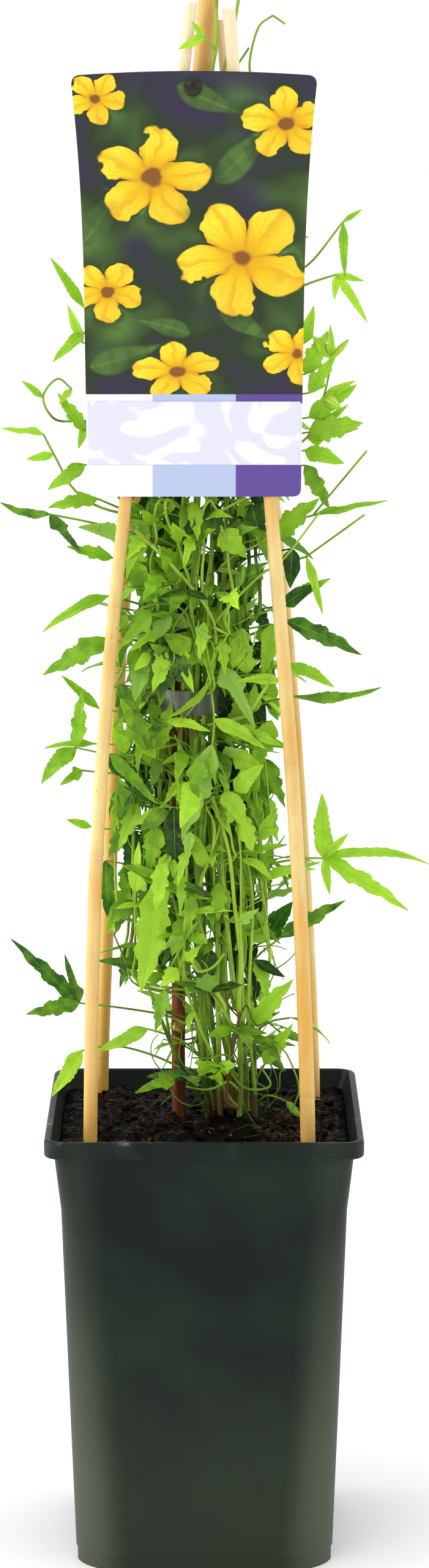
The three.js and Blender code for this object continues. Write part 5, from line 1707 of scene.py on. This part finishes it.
def tag_outline():
    """The card's outline, in millimetres across and up from its lower edge."""
    t = TAG
    up = t["length"]
    corner = t["corner"]
    points = [(t["half_bottom"] - corner, 0)]

    def curve(control, end, steps):
        points.extend(quadratic(points[-1], control, end, steps))

    curve((t["half_bottom"], 0), (t["half_bottom"], corner), 6)
    points.append((t["half_waist"], up - t["waist"]))
    side = (t["half_waist"] + t["swell"], up - t["waist"] / 2)
    curve(side, (t["half_top"], up - t["rise"] - corner), 12)
    curve((t["half_top"], up - t["rise"]), (t["half_top"] - corner, up - t["shoulder"]), 6)
    crown = points[-1]
    curve((0, up + t["crown"]), (-crown[0], crown[1]), 20)
    right = [p for p in points if p[0] > 0 and p is not crown]
    left = [(-x, y) for x, y in reversed(right)]
    return points + left


def flat_sheet(outline, thick, off):
    """A flat sheet with the given outline, in the card's own plane."""
    return solid([[(x * MM, y * MM, z) for x, y in outline] for z in (off * MM, off * MM + thick)])


def print_uv(sheet):
    """Gives a flat sheet a UV map in millimetres on the card, and its front the first material."""
    layer = sheet.data.uv_layers.new(name="surface")
    for loop, corner in zip(sheet.data.loops, layer.data):
        corner.uv = sheet.data.vertices[loop.vertex_index].co.xy / MM
    for polygon in sheet.data.polygons:
        polygon.material_index = 0 if polygon.normal.z > 0.9 else 1


class CLEMATIS_OT_tag(Operator):
    """Models the leaning picture card with its hole, and the plain label stuck across it"""

    bl_idname = "clematis.tag"
    bl_label = "Tag card and label"

    def execute(self, context):
        look = context.scene.clematis_tag
        card = flat_sheet(tag_outline(), look.thick, -look.thick / MM / 2)
        x, y = stud_place()
        drilled(card, [(x * MM, y * MM, 0)], TAG["hole"] * MM, DRILL_DEPTH, 32)
        ends, halves = (TAG["waist"], TAG["length"]), (TAG["half_waist"], TAG["half_bottom"])
        outline = []
        for level, way in ((LABEL["bottom"], -1), (LABEL["top"], 1)):
            half = way * (np.interp(level, ends, halves) - LABEL["inset"])
            outline += [(x, TAG["length"] - level) for x in np.linspace(half, -half, LABEL_STEPS)]
        label = flat_sheet(outline, look.label_thick, look.thick / MM / 2 + GAP / 2)
        back = paper_finish("card_back", look.paper, look.paper)
        paper = paper_finish("label_paper", look.label, look.paper)
        for sheet, name, slot, finishes, node in (
            (card, "picture_card", "card_print", [print_finish(look), back], "tag_card"),
            (label, "plain_label", "label_print", [paper, paper], "tag_label"),
        ):
            print_uv(sheet)
            on_card(sheet)
            dress(sheet, name, slot, finishes, [node], smooth=20)
        return {"FINISHED"}


# ---- the plant


SMALL_OUTLINES = ("broad", "three_lobed", "lance", "toothed", "broad", "three_lobed")
COLUMN_REACH = 50  # small growth stays this near the middle of the stems, in millimetres
STEM_SLIM = 0.82  # stems are drawn this much slimmer than their solids
STEM_RING = 4.75  # millimetres between the rings of a stem's tube
STEM_EASE = 8  # its bends are smoothed over this far up and down
WANDER = 1.1  # how far a stem wanders from its solid's middle, in millimetres
WANDER_WAVE = 21  # height of one wave of it
WANDER_START = 12  # it sets in over this height
WANDER_SEED = 11
NODE_SWELL = 0.45  # a stem swells by this share where a spray grows out
NODE_REACH = 3.2  # and over this height, up and down
# How many of the small sprays grow at each height, in millimetres: few by the soil and the tops.
LEAFINESS = ((220, 0.0), (245, 0.08), (285, 0.35), (320, 1), (690, 1), (725, 0.3), (745, 0))
SMALL_GROWTH = {"first": 226, "last": 775, "stagger": 4}  # millimetres
TENDRIL_END = 700
TWINER_STEP = 14
COVER_STEP = 19
TIE_HEIGHT = 428
TIE_ROOM = 9  # small growth keeps this far from the tie's middle
CARD_ROOM = {"above": 6, "beside": 4, "behind": 1.5}  # and this far from the card, above or below
UPRIGHT_ROOM = {"small": 1.4, "leaf": 1.6, "shoot": 2}  # and from canes and stake
STAKE_TOP_ROOM = 4  # and this far above the stake
LEFT_GROWTH = 0.9  # side shoots on the left are this much longer
STALK_RADII = (0.72, 0.48)  # a leaf stalk's radius at its foot and at its end
PALE_TIPS = ((-11, -33, 363), (25, -31, 418), (38, -24, 410))
# Shoots in front of the bundle: radius, tone (below 0 is brown) and points, in millimetres.
FRONT_SHOOTS = (
    (1, 0.3, (-1, -9, 225), (-13, -14, 248), (-22, -17, 271), (-29, -18, 289)),
    (0.85, 0.85, (12, -11, 229), (5, -15, 249), (-3, -19, 268), (-11, -22, 294), (-15, -22, 315)),
    (0.75, 0.9, (-10, -22, 294), (-9, -27, 329), (-9, -27, 357), (-12, -27, 384), (-14, -24, 405)),
    (0.7, 0.8, (-33, -16, 289), (-34, -20, 304), (-34, -22, 335)),
    (1.1, 0.95, (17, -15, 277), (18, -22, 303), (15, -24, 328), (12, -24, 356), (4, -22, 383)),
    (1.25, 0.5, (15, -14, 283), (11, -21, 321), (9, -21, 346), (8, -19, 382)),
    (0.8, 0.6, (6, -18, 302), (5, -20, 333), (4, -20, 373)),
    (0.55, 1, (18, -22, 303), (18, -26, 328), (18, -26, 353), (16, -24, 371)),
    (0.8, 0.8, (25, -8, 233), (22, -13, 276), (24, -16, 326), (21, -16, 351), (19, -15, 372)),
    (0.35, 0.9, (3, -30, 447), (1, -31, 440), (-4, -30, 430), (-12, -28, 420)),
    (0.5, 0.9, (5, -28, 438), (3, -29, 449), (1, -29, 460), (2, -28, 471), (1, -26, 486)),
    (0.35, 0.95, (3, -30, 448), (5, -31, 456), (3, -31, 461), (0, -31, 458), (0, -30, 454)),
    (0.6, 0.95, (5, -27, 452), (7, -28, 457), (11, -28, 463), (12, -28, 472), (11, -26, 480)),
    (0.8, 0.9, (-1, -24, 451), (-2, -25, 455), (-5, -25, 464), (-9, -23, 474)),
    (0.5, 0.95, (14, -22, 442), (16, -26, 446), (21, -28, 453), (24, -28, 459), (25, -27, 465)),
    (0.9, 0.95, (21, -18, 422), (23, -24, 426), (29, -27, 436), (34, -28, 444)),
    (0.7, 0.9, (12, -14, 237), (5, -19, 235), (-1, -22, 235), (-9, -24, 237)),
    (0.5, 0.85, (10, -15, 251), (3, -18, 250), (-6, -21, 251)),
    (0.5, 0.8, (8, -15, 244), (2, -19, 247), (-4, -20, 249)),
    (0.65, 0.75, (12, -14, 244), (19, -20, 236), (28, -22, 235), (33, -22, 238), (28, -19, 246)),
    (0.35, -0.5, (12, -17, 277), (10, -20, 285), (5, -22, 287), (3, -22, 285), (5, -22, 282)),
    (0.3, -0.5, (21, -14, 276), (24, -17, 269), (28, -18, 264), (25, -18, 260), (22, -18, 254)),
    (1, -0.3, (11, -13, 228), (14, -16, 253), (18, -16, 273)),
    (0.5, 0.6, (-33, -14, 286), (-39, -16, 299), (-45, -16, 313)),
    (0.9, 0.95, (10, -18, 277), (-5, -24, 301), (-3, -26, 296), (4, -27, 298), (10, -27, 305)),
    (1, 0.7, (3, -18, 296), (3, -19, 302), (-3, -20, 321), (-7, -20, 335)),
    (0.5, 0.8, (26, -12, 257), (38, -22, 256), (43, -24, 249), (47, -25, 236), (43, -25, 224)),
    (0.9, 0.55, (-31, -14, 320), (-35, -17, 339), (-35, -17, 357), (-35, -15, 403)),
    (0.8, 0.7, (-39, -10, 319), (-43, -13, 329), (-44, -13, 344), (-44, -11, 366)),
    (0.6, 1, (-15, -22, 337), (-20, -23, 340), (-22, -24, 353), (-24, -23, 372)),
    (0.8, 0.9, (-1, -22, 343), (1, -24, 349), (4, -25, 357), (5, -25, 369), (1, -24, 378)),
    (0.6, 1, (15, -22, 352), (14, -24, 358), (12, -25, 370), (8, -24, 384)),
    (0.42, 0.6, (13, -22, 352), (20, -24, 356), (32, -24, 354), (41, -22, 352)),
    (0.42, 0.6, (13, -20, 340), (26, -22, 335), (33, -22, 338), (42, -20, 339)),
    (0.9, 0.85, (-36, -27, 519), (-26, -28, 508), (-17, -28, 499), (-8, -28, 489), (0, -28, 479),
     (5, -28, 469), (6, -28, 459)),
    (0.75, 0.95, (5, -28, 467), (12, -28, 464), (10, -28, 472), (14, -28, 483), (12, -28, 497),
     (11, -28, 509), (8, -28, 517)),
    (0.6, 0.85, (5, -24, 468), (14, -24, 479), (27, -25, 492), (39, -27, 501), (56, -26, 523)),
    (0.8, 0.95, (-18, -24, 529), (-18, -24, 520), (-13, -24, 509), (-10, -24, 499)),
    (0.6, 0.9, (-21, -24, 529), (-24, -24, 520), (-23, -24, 510), (-26, -24, 499), (-25, -24, 488)),
    (0.55, 0.3, (-39, -26, 462), (-35, -27, 470), (-31, -27, 476), (-21, -28, 479), (-12, -28, 477),
     (-8, -27, 472), (-4, -27, 462), (-1, -27, 453)),
    (0.7, 1, (-3, -26, 517), (0, -26, 525), (3, -26, 529), (7, -26, 524), (14, -26, 527), (20, -26, 530)),
    (1.3, 0.1, (15, -18, 452), (17, -18, 472), (14, -18, 488), (14, -18, 502), (14, -18, 520)),
    (1.1, 0.05, (20, -17, 466), (20, -17, 480), (22, -17, 495), (21, -17, 511)),
    (0.9, 0.15, (25, -17, 470), (27, -17, 488), (25, -17, 502), (27, -17, 516)),
    (1.1, 0.2, (-19, -18, 452), (-22, -18, 471), (-24, -18, 492), (-26, -18, 511), (-27, -18, 525)),
    (0.9, 0.1, (-28, -17, 458), (-29, -17, 477), (-30, -17, 494), (-31, -17, 508)),
    (0.5, 0.8, (30, -27, 511), (23, -27, 506), (16, -27, 503), (8, -27, 497)),
    (0.9, 0.6, (-3, -22, 452), (-6, -22, 474), (-7, -22, 488), (-11, -22, 502), (-11, -22, 519)),
    (0.8, 0.8, (5, -22, 468), (0, -22, 480), (-1, -22, 493), (0, -22, 508), (-3, -22, 522)),
)
# Leaves in front of the bundle: base, tip, width, outline, facing and tone.
FRONT_LEAVES = (
    ((-17, -27, 460), (-21, -31, 433), 19, "broad", 80, 0.12),
    ((-15, -29, 455), (-5, -31, 435), 12, "toothed", 78, 0.15),
    ((21, -24, 444), (19, -27, 466), 14, "three_lobed", 80, 0.5),
    ((-7, -27, 455), (-20, -29, 464), 11, "lance", 70, 0.45),
    ((-26, -26, 454), (-34, -29, 446), 6, "lance", 75, 0.8),
    ((-24, -23, 402), (-41, -27, 432), 11, "plain", 80, 0.5),
    ((15, -25, 386), (29, -28, 400), 10, "lance", 75, 0.7),
    ((-23, -25, 379), (-40, -24, 388), 5, "plain", 55, 0.1),
    ((-19, -26, 377), (-31, -28, 367), 9, "lance", 75, 0.3),
    ((-15, -22, 378), (-14, -24, 343), 12, "plain", 85, 0.05),
    ((-23, -22, 368), (-28, -25, 344), 12, "broad", 80, 0.45),
    ((0, -25, 348), (-5, -26, 365), 8, "lance", 80, 0.6),
    ((-34, -22, 335), (-32, -26, 361), 10, "lobed", 85, 0.92),
    ((-49, -8, 348), (-48, -10, 320), 11, "toothed", 80, 0.2),
    ((-36, -14, 329), (-47, -16, 318), 12, "broad", 75, 0.3),
    ((-18, -28, 341), (-39, -26, 349), 6, "lance", 50, 0.35),
    ((-14, -29, 340), (4, -29, 334), 5, "lance", 50, 0.2),
    ((-9, -25, 301), (-1, -28, 310), 8, "three_lobed", 75, 0.95),
    ((-13, -25, 297), (-22, -28, 288), 10, "broad", 75, 1),
    ((3, -20, 306), (-3, -23, 286), 14, "toothed", 80, 0.12),
    ((-24, -14, 274), (-19, -16, 283), 8, "plain", 75, 0.1),
    ((-39, -14, 403), (-44, -16, 423), 8, "lance", 80, 0.75),
    ((-36, -14, 378), (-43, -14, 391), 8, "plain", 80, 0.4),
    ((-39, -12, 366), (-47, -14, 351), 9, "toothed", 80, 0.3),
    ((-10, -22, 322), (-16, -24, 303), 9, "lance", 80, 0.6),
    ((18, -20, 373), (24, -24, 355), 11, "toothed", 80, 0.85),
    ((17, -22, 383), (11, -26, 368), 10, "broad", 80, 0.75),
    ((-30, -23, 512), (-37, -26, 500), 11, "three_lobed", 85, 0.85),
    ((8, -26, 514), (21, -28, 501), 15, "broad", 85, 0.5),
    ((3, -22, 527), (7, -25, 511), 12, "toothed", 85, 0.12),
    ((-21, -24, 484), (-38, -26, 494), 19, "broad", 85, 0.35),
    ((-26, -24, 475), (-41, -26, 457), 13, "lobed", 85, 0.5),
    ((-6, -26, 512), (-10, -28, 496), 8, "lobed", 80, 0.8),
    ((19, -24, 466), (14, -27, 447), 13, "toothed", 85, 0.5),
    ((43, -14, 504), (42, -18, 485), 9, "lance", 80, 0.05),
    ((39, -12, 476), (55, -15, 487), 8, "lance", 75, 0.1),
    ((23, -20, 526), (28, -22, 508), 12, "toothed", 85, 0.1),
    ((-40, -25, 432), (-25, -28, 405), 11, "lance", 82, 0.3),
    ((-47, -14, 402), (-27, -17, 383), 10, "lance", 78, 0.12),
    ((-18, -26, 421), (3, -28, 416), 6, "lance", 50, 0.85),
    ((7, -26, 419), (38, -28, 409), 10, "toothed", 70, 0.6),
    ((14, -20, 402), (29, -22, 397), 12, "broad", 80, 0.85),
    ((49, -14, 589), (60, -16, 610), 12, "toothed", 80, 0.75),
    ((51, -16, 580), (65, -18, 601), 11, "three_lobed", 80, 0.65),
    ((51, -16, 561), (77, -20, 566), 14, "toothed", 80, 0.55),
    ((51, -14, 568), (74, -16, 584), 10, "lance", 80, 0.6),
    ((49, -14, 552), (68, -18, 546), 9, "lance", 75, 0.7),
    ((49, -16, 545), (61, -18, 524), 10, "toothed", 80, 0.35),
    ((49, -12, 604), (53, -14, 622), 6, "lance", 80, 0.8),
    ((-58, -14, 562), (-71, -16, 580), 8, "toothed", 80, 0.6),
    ((-58, -14, 545), (-76, -16, 533), 8, "lance", 75, 0.5),
    ((-59, -12, 604), (-66, -12, 622), 5, "lance", 80, 0.8),
)
COVER_SEED = 21
# Where more leaves and upright shoots fill the bundle, in millimetres: x, y and height from and to,
# how many leaves and shoots, and the leaves' tone from and to.
COVER = (
    (-42, -10, -16, 2, 300, 540, 55, 16, 0.0, 0.8),
    (14, 34, -16, 2, 300, 540, 18, 9, 0.0, 0.8),
    (-34, 34, 4, 20, 300, 640, 70, 8, 0.0, 0.9),
    (-30, 34, 20, 42, 310, 620, 34, 4, 0.2, 1.0),
    # The last row fills the inside of the bundle with leaves of the lowest tones, in painted shade.
    (-32, 28, -5, 12, 285, 700, 200, 0, -0.25, 0.12),
)


def stem_path(stem):
    """Heights and places up the middle of a stem, smoothed a little, in millimetres."""
    top = STEM_TOPS[stem]
    heights = np.array([*np.arange(STEM_ROOT, top - STEM_TIP, STEM_RING), top - STEM_TIP / 2, top])
    ease = np.minimum(STEM_EASE, np.minimum(heights - STEM_ROOT, top - heights))
    path = [(stem_point(stem, h - e) + stem_point(stem, h + e)) / 2 for h, e in zip(heights, ease)]
    return heights, np.array(path)


def clear_of_uprights(place, room):
    """Whether a place is clear of the canes, the stake and the card, in millimetres."""
    x, y, z = place
    uprights = [along_height(table, z) for table in CANES.values()]
    if z < STAKE_ENDS[1] + STAKE_TOP_ROOM:
        uprights.append(STAKE)
    if any(hypot(x - ux, y - uy) < radius + room for ux, uy, radius in uprights):
        return False
    card = TAG["top_depth"] - (TAG["top"] - z) * tan(TAG_LEAN)
    ends = TAG["top"] - TAG["length"] - CARD_ROOM["above"], TAG["top"] + CARD_ROOM["above"]
    beside = abs(x - TAG["middle"]) >= TAG["half_top"] + CARD_ROOM["beside"]
    return not ends[0] < z < ends[1] or beside or y >= card + CARD_ROOM["behind"]


def inside_box(place, room=1.5):
    """Whether a place lies inside the model's box, in millimetres."""
    low, high = np.array(CAD_BOX) / MM
    return bool(np.all(place > low + room) and np.all(place < high - room))


def shoot(stalks, points, tone, radii=STALK_RADII, steps=6, sides=6):
    """A leaf stalk or shoot: a tube along a smooth path through points, tapering between radii."""
    path = smooth_path(points, steps)
    tube(stalks, path, np.linspace(*radii, len(path)), sides, tone)


def has_room(places, height):
    """Whether small growth fits at these places: clear, inside the box and near the column."""
    centre_x, centre_y = along_height(BUNDLE, height)[:2]
    return all(
        hypot(place[0] - centre_x, place[1] - centre_y) <= COLUMN_REACH
        and clear_of_uprights(place, UPRIGHT_ROOM["small"]) and inside_box(place)
        for place in places)


def small_spray(sheets, stalks, stem, height, draws):
    """A short side shoot with one or three hanging leaflets, where there is room for it."""
    angle = outward_angle(stem, height) + draws(-1.5, 1.5)
    out, cross = ways(angle)
    stalk = draws(4, 19) * (1 + LEFT_GROWTH * max(-cos(angle), 0))
    line = arched(stem_point(stem, height), out, stalk, draws(-0.9, 1.0))
    length = draws.triangular(11, 31, 20)
    slim = draws(0.34, 0.56)
    droop = draws(-2.6, 0.8)
    face = UP * draws(0.2, 0.8) + out * draws(0.8, 1.8)
    face = face + cross * draws(-0.6, 0.6)
    # sprays on short stalks, deeper in the bundle, have their tone darkened towards painted shade
    tone = draws.triangular(0.0, 1.0, 0.55) * min(0.4 + stalk / 18, 1)
    outline = draws.choice(SMALL_OUTLINES)
    turned = draws.random() < 0.12
    leaves = [(line[2], line[2] + unit(out + UP * droop) * length, length)]
    if draws.random() < 0.6:
        for hand in (1, -1):
            reach = length * draws(0.5, 0.8)
            way = out * 0.5 + cross * hand * draws(0.5, 1.1) + UP * droop * 0.7
            leaves.append((line[1], line[1] + unit(way) * reach, reach))
    if not has_room([p for base, tip, _ in leaves for p in (base, (base + tip) / 2, tip)], height):
        return
    shoot(stalks, line, tone, (0.55, 0.35))
    for base, tip, reach in leaves:
        arch = draws(-0.08, 0.14) * reach
        blade(sheets, base, tip, reach * slim, outline, face, arch, tone, draws, turned)


def tendril(stalks, stem, height, draws):
    """A thin bright shoot that wanders out of the stems and curls as it ends."""
    place = stem_point(stem, height)
    heading = outward_angle(stem, height) + draws(-1.3, 1.3)
    climb = draws(-1.3, 1.4)
    turn, bend = draws(-0.3, 0.3), draws(-0.3, 0.3)
    points = [place]
    for i in range(draws.randint(5, 12)):
        way = ways(heading)[0] * cos(climb) + UP * sin(climb)
        place = place + way * (5.5 - 0.3 * i)
        if not has_room([place], height):
            break
        points.append(place)
        heading += turn * (1 + 0.2 * i)
        climb += bend * (1 + 0.2 * i)
    if len(points) > 4:
        shoot(stalks, points, draws(0.6, 1.0), (0.42, 0.22), 3, 5)


def twiner(stalks, stem, height, draws):
    """A young shoot that climbs slantwise round the bundle."""
    angle = outward_angle(stem, height)
    spin = draws(0.25, 0.9) * draws.choice((-1, 1))
    off = draws(-4, 3) + 14 * max(-cos(angle), 0) * draws.random()
    points = []
    for i in range(draws.randint(5, 10)):
        level = height + i * TWINER_STEP
        centre_x, centre_y, reach, _ = along_height(BUNDLE, level)
        reach += off + draws(-1.5, 1.5)
        place = (centre_x, centre_y, level) + ways(angle + spin * i * 0.5)[0] * reach
        near_tie = abs(level - TIE_HEIGHT) < TIE_ROOM + 5
        if level > STEM_TOPS[stem] - 10 or near_tie or not has_room([place], level):
            break
        points.append(place)
    if len(points) > 3:
        shoot(stalks, points, draws(0.35, 0.9), (0.85, 0.5), 4, 7)


def cover():
    """The shoots and leaves that fill the bundle, in the same form as those in front."""
    draws = Draws(COVER_SEED)
    shoots, leaves = [], []
    for x_low, x_high, y_low, y_high, low, high, leaf_count, shoot_count, old, young in COVER:
        for _ in range(leaf_count):
            base = (draws(x_low, x_high), draws(y_low, y_high), draws(low, high))
            length = draws(13, 29)
            hang = -1 if draws.random() < 0.8 else 0.7
            tip = base + unit((draws(-0.6, 0.6), draws(-0.25, 0.05), hang)) * length
            outline = draws.choice(SMALL_OUTLINES)
            width = length * draws(0.36, 0.54)
            facing, tone = draws(60, 88), draws.triangular(old, young)
            places = (np.array(base), (base + tip) / 2, tip)
            if all(clear_of_uprights(place, UPRIGHT_ROOM["leaf"]) for place in places):
                leaves.append((base, tip, width, outline, facing, tone))
        for _ in range(shoot_count):
            x, y = draws(x_low, x_high), draws(y_low, y_high)
            foot = draws(low - 20, low + 80)
            points = []
            for i in range(draws.randint(4, 8)):
                place = (x + draws(-1.2, 1.2), y + draws(-1.2, 1.2), foot + COVER_STEP * i)
                near_tie = abs(place[2] - TIE_HEIGHT) < TIE_ROOM
                if near_tie or not clear_of_uprights(place, UPRIGHT_ROOM["shoot"]):
                    break
                points.append(place)
                x -= 0.04 * (x + 4)
            if len(points) > 2:
                shoots.append((draws(0.5, 0.95), draws(0.35, 1), *points))
    return shoots, leaves


def front_growth(sheets, stalks, stem, growth, draws):
    """The shoots and leaves in front and at the sides that grow from this stem."""
    shoots, leaves = growth
    for radius, tone, *points in (*FRONT_SHOOTS, *shoots):
        root = max(points[0][2] - 6, 206)
        if outermost_stem(root, points[0]) == stem:
            way = [stem_point(stem, root), *points]
            shoot(stalks, way, tone, (1.2 * radius, 0.75 * radius), 5, 8)
    for base, tip, width, outline, facing, tone in (*FRONT_LEAVES, *leaves):
        root = base[2] - 8
        if outermost_stem(root, base) != stem:
            continue
        base, tip = np.array(base, float), np.array(tip, float)
        foot = stem_point(stem, root)
        shoot(stalks, [foot, (foot + base) / 2 + UP, base], tone, (0.6, 0.4))
        blade(sheets, base, tip, width, outline, faced(facing), 2, tone, draws)


def stem_skin(stalks, stem, sprays, draws):
    """The stem itself, swollen where a spray grows out and wandering a little round its solid."""
    heights, path = stem_path(stem)
    radii = stem_radius(stem, heights)
    for line, _ in sprays:
        radii *= 1 + NODE_SWELL * np.exp(-(((heights - line[0][2]) / NODE_REACH) ** 2))
    radii *= STEM_SLIM
    radii[-2:] *= (0.8, 0.35)
    wander = [noise.noise_vector(Vector((stem * 7.3, 1.7, h / WANDER_WAVE))) for h in heights]
    rise = np.minimum(heights - heights[0], WANDER_START)[:, None]
    path += np.array(wander) * rise / WANDER_START * (WANDER, WANDER, 0)
    tube(stalks, path, radii, 12, draws(0.35, 0.85), ribs=0.07)


def main_sprays(sheets, stalks, sprays, draws):
    """The sprays that the model holds: each one's stalk, with its blades, buds and twigs."""
    for line, shapes in sprays:
        tone = SPRAY_TONES.get(round(line[0][2]), draws.triangular(0.1, 1.0, 0.5))
        shoot(stalks, line, tone * 0.6 + 0.3)
        for base, tip, width, outline, face, arch in shapes:
            if outline == "bud":
                bud(stalks, base, tip, width, 0.9)
            elif outline == "twig":
                tube(stalks, smooth_path([base, (base + tip) / 2, tip], 5), 0.5, 6, 0.6)
            else:
                own = min(max(tone + draws(-0.12, 0.12), 0), 1)
                turned = any(dist(tip[::2], pale[::2]) < 0.5 for pale in PALE_TIPS)
                blade(sheets, base, tip, width, outline, face, arch, own, draws, turned)


def small_growth(sheets, stalks, stem, look, draws):
    """The small sprays, tendrils and twiners up one stem."""
    height = SMALL_GROWTH["first"] + (stem % 4) * SMALL_GROWTH["stagger"]
    while height < min(STEM_TOPS[stem] - 5, SMALL_GROWTH["last"]):
        leafy = float(np.interp(height, *zip(*LEAFINESS)))
        if abs(height - TIE_HEIGHT) > TIE_ROOM:
            if draws.random() < leafy:
                small_spray(sheets, stalks, stem, height, draws)
            if height < TENDRIL_END and draws.random() < look.tendrils * (1.4 - leafy):
                tendril(stalks, stem, height, draws)
        leftward = max(-cos(outward_angle(stem, height)), 0)
        height += look.small_step / MM * draws(0.7, 1.3) * (1.15 - 0.5 * leftward)
    for _ in range(look.twiners):
        twiner(stalks, stem, draws(214, STEM_TOPS[stem] - 70), draws)


def plant_stem(stem, sprays, growth, look, materials):
    """One stem with every leaf stalk, leaflet and bud that grows on it."""
    draws = Draws(look.seed * 100 + stem)
    sheets, stalks = Surfaces(), Surfaces()
    stem_skin(stalks, stem, sprays, draws)
    main_sprays(sheets, stalks, sprays, draws)
    front_growth(sheets, stalks, stem, growth, draws)
    small_growth(sheets, stalks, stem, look, draws)
    name = f"leafy_{stem_name(stem)}"
    leaves = sheets.piece(name, materials)
    skin = leaves.modifiers.new("skin", "SOLIDIFY")
    skin.thickness, skin.offset, skin.material_offset = LEAF_THICK * MM, 0, 1
    apply_modifiers(leaves)
    joined(leaves, stalks.piece("shoots", materials[2:]))
    dress(leaves, name, "leaf_green", materials, [stem_name(stem)], smooth=62)


class CLEMATIS_OT_plant(Operator):
    """Grows the leafy stems from the crown"""

    bl_idname = "clematis.plant"
    bl_label = "Leafy stems"

    def execute(self, context):
        look = context.scene.clematis_plant
        noise.seed_set(WANDER_SEED)  # without it, noise_vector differs from run to run
        materials = [
            leaf_finish("clematis_leaf", look, False),
            leaf_finish("clematis_leaf_underside", look, True),
            stalk_finish(look),
        ]
        growth = cover()
        for stem, sprays in grown_sprays().items():
            plant_stem(stem, sprays, growth, look, materials)
        return {"FINISHED"}


# ---- stage


# Area lights: name, place, size across and up, share of the key's power.
LIGHTS = (
    ("key", (-1.3, -1.9, 2.1), 1.4, 1.4, 1.0),
    ("fill", (1.9, -1.4, 1.1), 1.6, 1.8, 0.3),
    ("left_strip", (-1.4, 0.0, 0.35), 1.0, 1.2, 1.6),
    ("right_strip", (1.5, 0.1, 0.4), 0.5, 1.4, 0.5),
    ("back", (0.3, 1.6, 1.9), 1.6, 1.2, 0.4),
)
LIGHT_AIM = (0.0, 0.0, 0.38)
SUN_TURN = (radians(38), 0.0, radians(-35))
SUN_SPREAD = radians(50)
CAMERA_TURN = (radians(80.2), 0.0, 0.0)
SENSOR_WIDTH = 36  # millimetres
FLOOR_SIZE = 40  # metres


class CLEMATIS_OT_stage(Operator):
    """Sets up the pale floor, the studio lights and the camera"""

    bl_idname = "clematis.stage"
    bl_label = "Stage"

    def execute(self, context):
        look = context.scene.clematis_stage
        bpy.ops.object.select_all(action="DESELECT")
        bpy.ops.mesh.primitive_plane_add(size=FLOOR_SIZE)
        floor = context.object
        floor.name = "floor"
        floor.data.materials.append(Finish("floor", roughness=0.85, base_color=look.floor).material)
        world = bpy.data.worlds.new("studio")
        world.use_nodes = True
        background = world.node_tree.nodes["Background"]
        background.inputs["Color"].default_value = look.sky
        background.inputs["Strength"].default_value = look.sky_strength
        context.scene.world = world
        bpy.ops.object.light_add(type="SUN", rotation=SUN_TURN)
        sun = context.object
        sun.name, sun.data.energy, sun.data.angle = "overhead", look.overhead, SUN_SPREAD
        for name, place, width, height, share in LIGHTS:
            bpy.ops.object.light_add(type="AREA", location=place)
            light = context.object
            light.name, light.data.shape = name, "RECTANGLE"
            light.data.size, light.data.size_y = width, height
            light.data.energy = look.key * share
            aim = Vector(LIGHT_AIM) - Vector(place)
            light.rotation_euler = aim.to_track_quat("-Z", "Y").to_euler()
        place = (look.camera_side, -look.camera_distance, look.camera_height)
        bpy.ops.object.camera_add(location=place, rotation=CAMERA_TURN)
        camera = context.object
        camera.data.lens, camera.data.sensor_width = look.lens, SENSOR_WIDTH
        context.scene.camera = camera
        context.scene.view_settings.view_transform = "Standard"
        return {"FINISHED"}


# ---- add-on

SETTINGS = {
    "clematis_pot": PotSettings, "clematis_soil": SoilSettings, "clematis_canes": CaneSettings,
    "clematis_stake": StakeSettings, "clematis_ties": TieSettings, "clematis_tag": TagSettings,
    "clematis_plant": PlantSettings, "clematis_stage": StageSettings,
}
OPERATORS = (
    CLEMATIS_OT_stage, CLEMATIS_OT_pot, CLEMATIS_OT_soil, CLEMATIS_OT_canes, CLEMATIS_OT_stake,
    CLEMATIS_OT_stem_tie, CLEMATIS_OT_cane_strap, CLEMATIS_OT_tag, CLEMATIS_OT_plant,
)


class CLEMATIS_PT_panel(Panel):
    """Lists the pieces and their settings"""

    bl_label = "Clematis"
    bl_space_type = "VIEW_3D"
    bl_region_type = "UI"
    bl_category = "Clematis"

    def draw(self, context):
        for operator in OPERATORS:
            self.layout.operator(operator.bl_idname)
        for name, group in SETTINGS.items():
            box = self.layout.box()
            box.label(text=group.__doc__)
            settings = getattr(context.scene, name)
            for key in group.__annotations__:
                box.prop(settings, key)


CLASSES = (*SETTINGS.values(), *OPERATORS, CLEMATIS_PT_panel)


def register():
    """Registers the classes and hangs the settings on the scene."""
    for each in CLASSES:
        bpy.utils.register_class(each)
    for name, group in SETTINGS.items():
        setattr(bpy.types.Scene, name, PointerProperty(type=group))


def unregister():
    """Takes the settings and the classes away again."""
    for name in SETTINGS:
        delattr(bpy.types.Scene, name)
    for each in reversed(CLASSES):
        bpy.utils.unregister_class(each)


def main():
    """Builds the whole scene."""
    register()
    for operator in OPERATORS:
        group, name = operator.bl_idname.split(".")
        getattr(getattr(bpy.ops, group), name)()


if __name__ == "__main__":
    main()
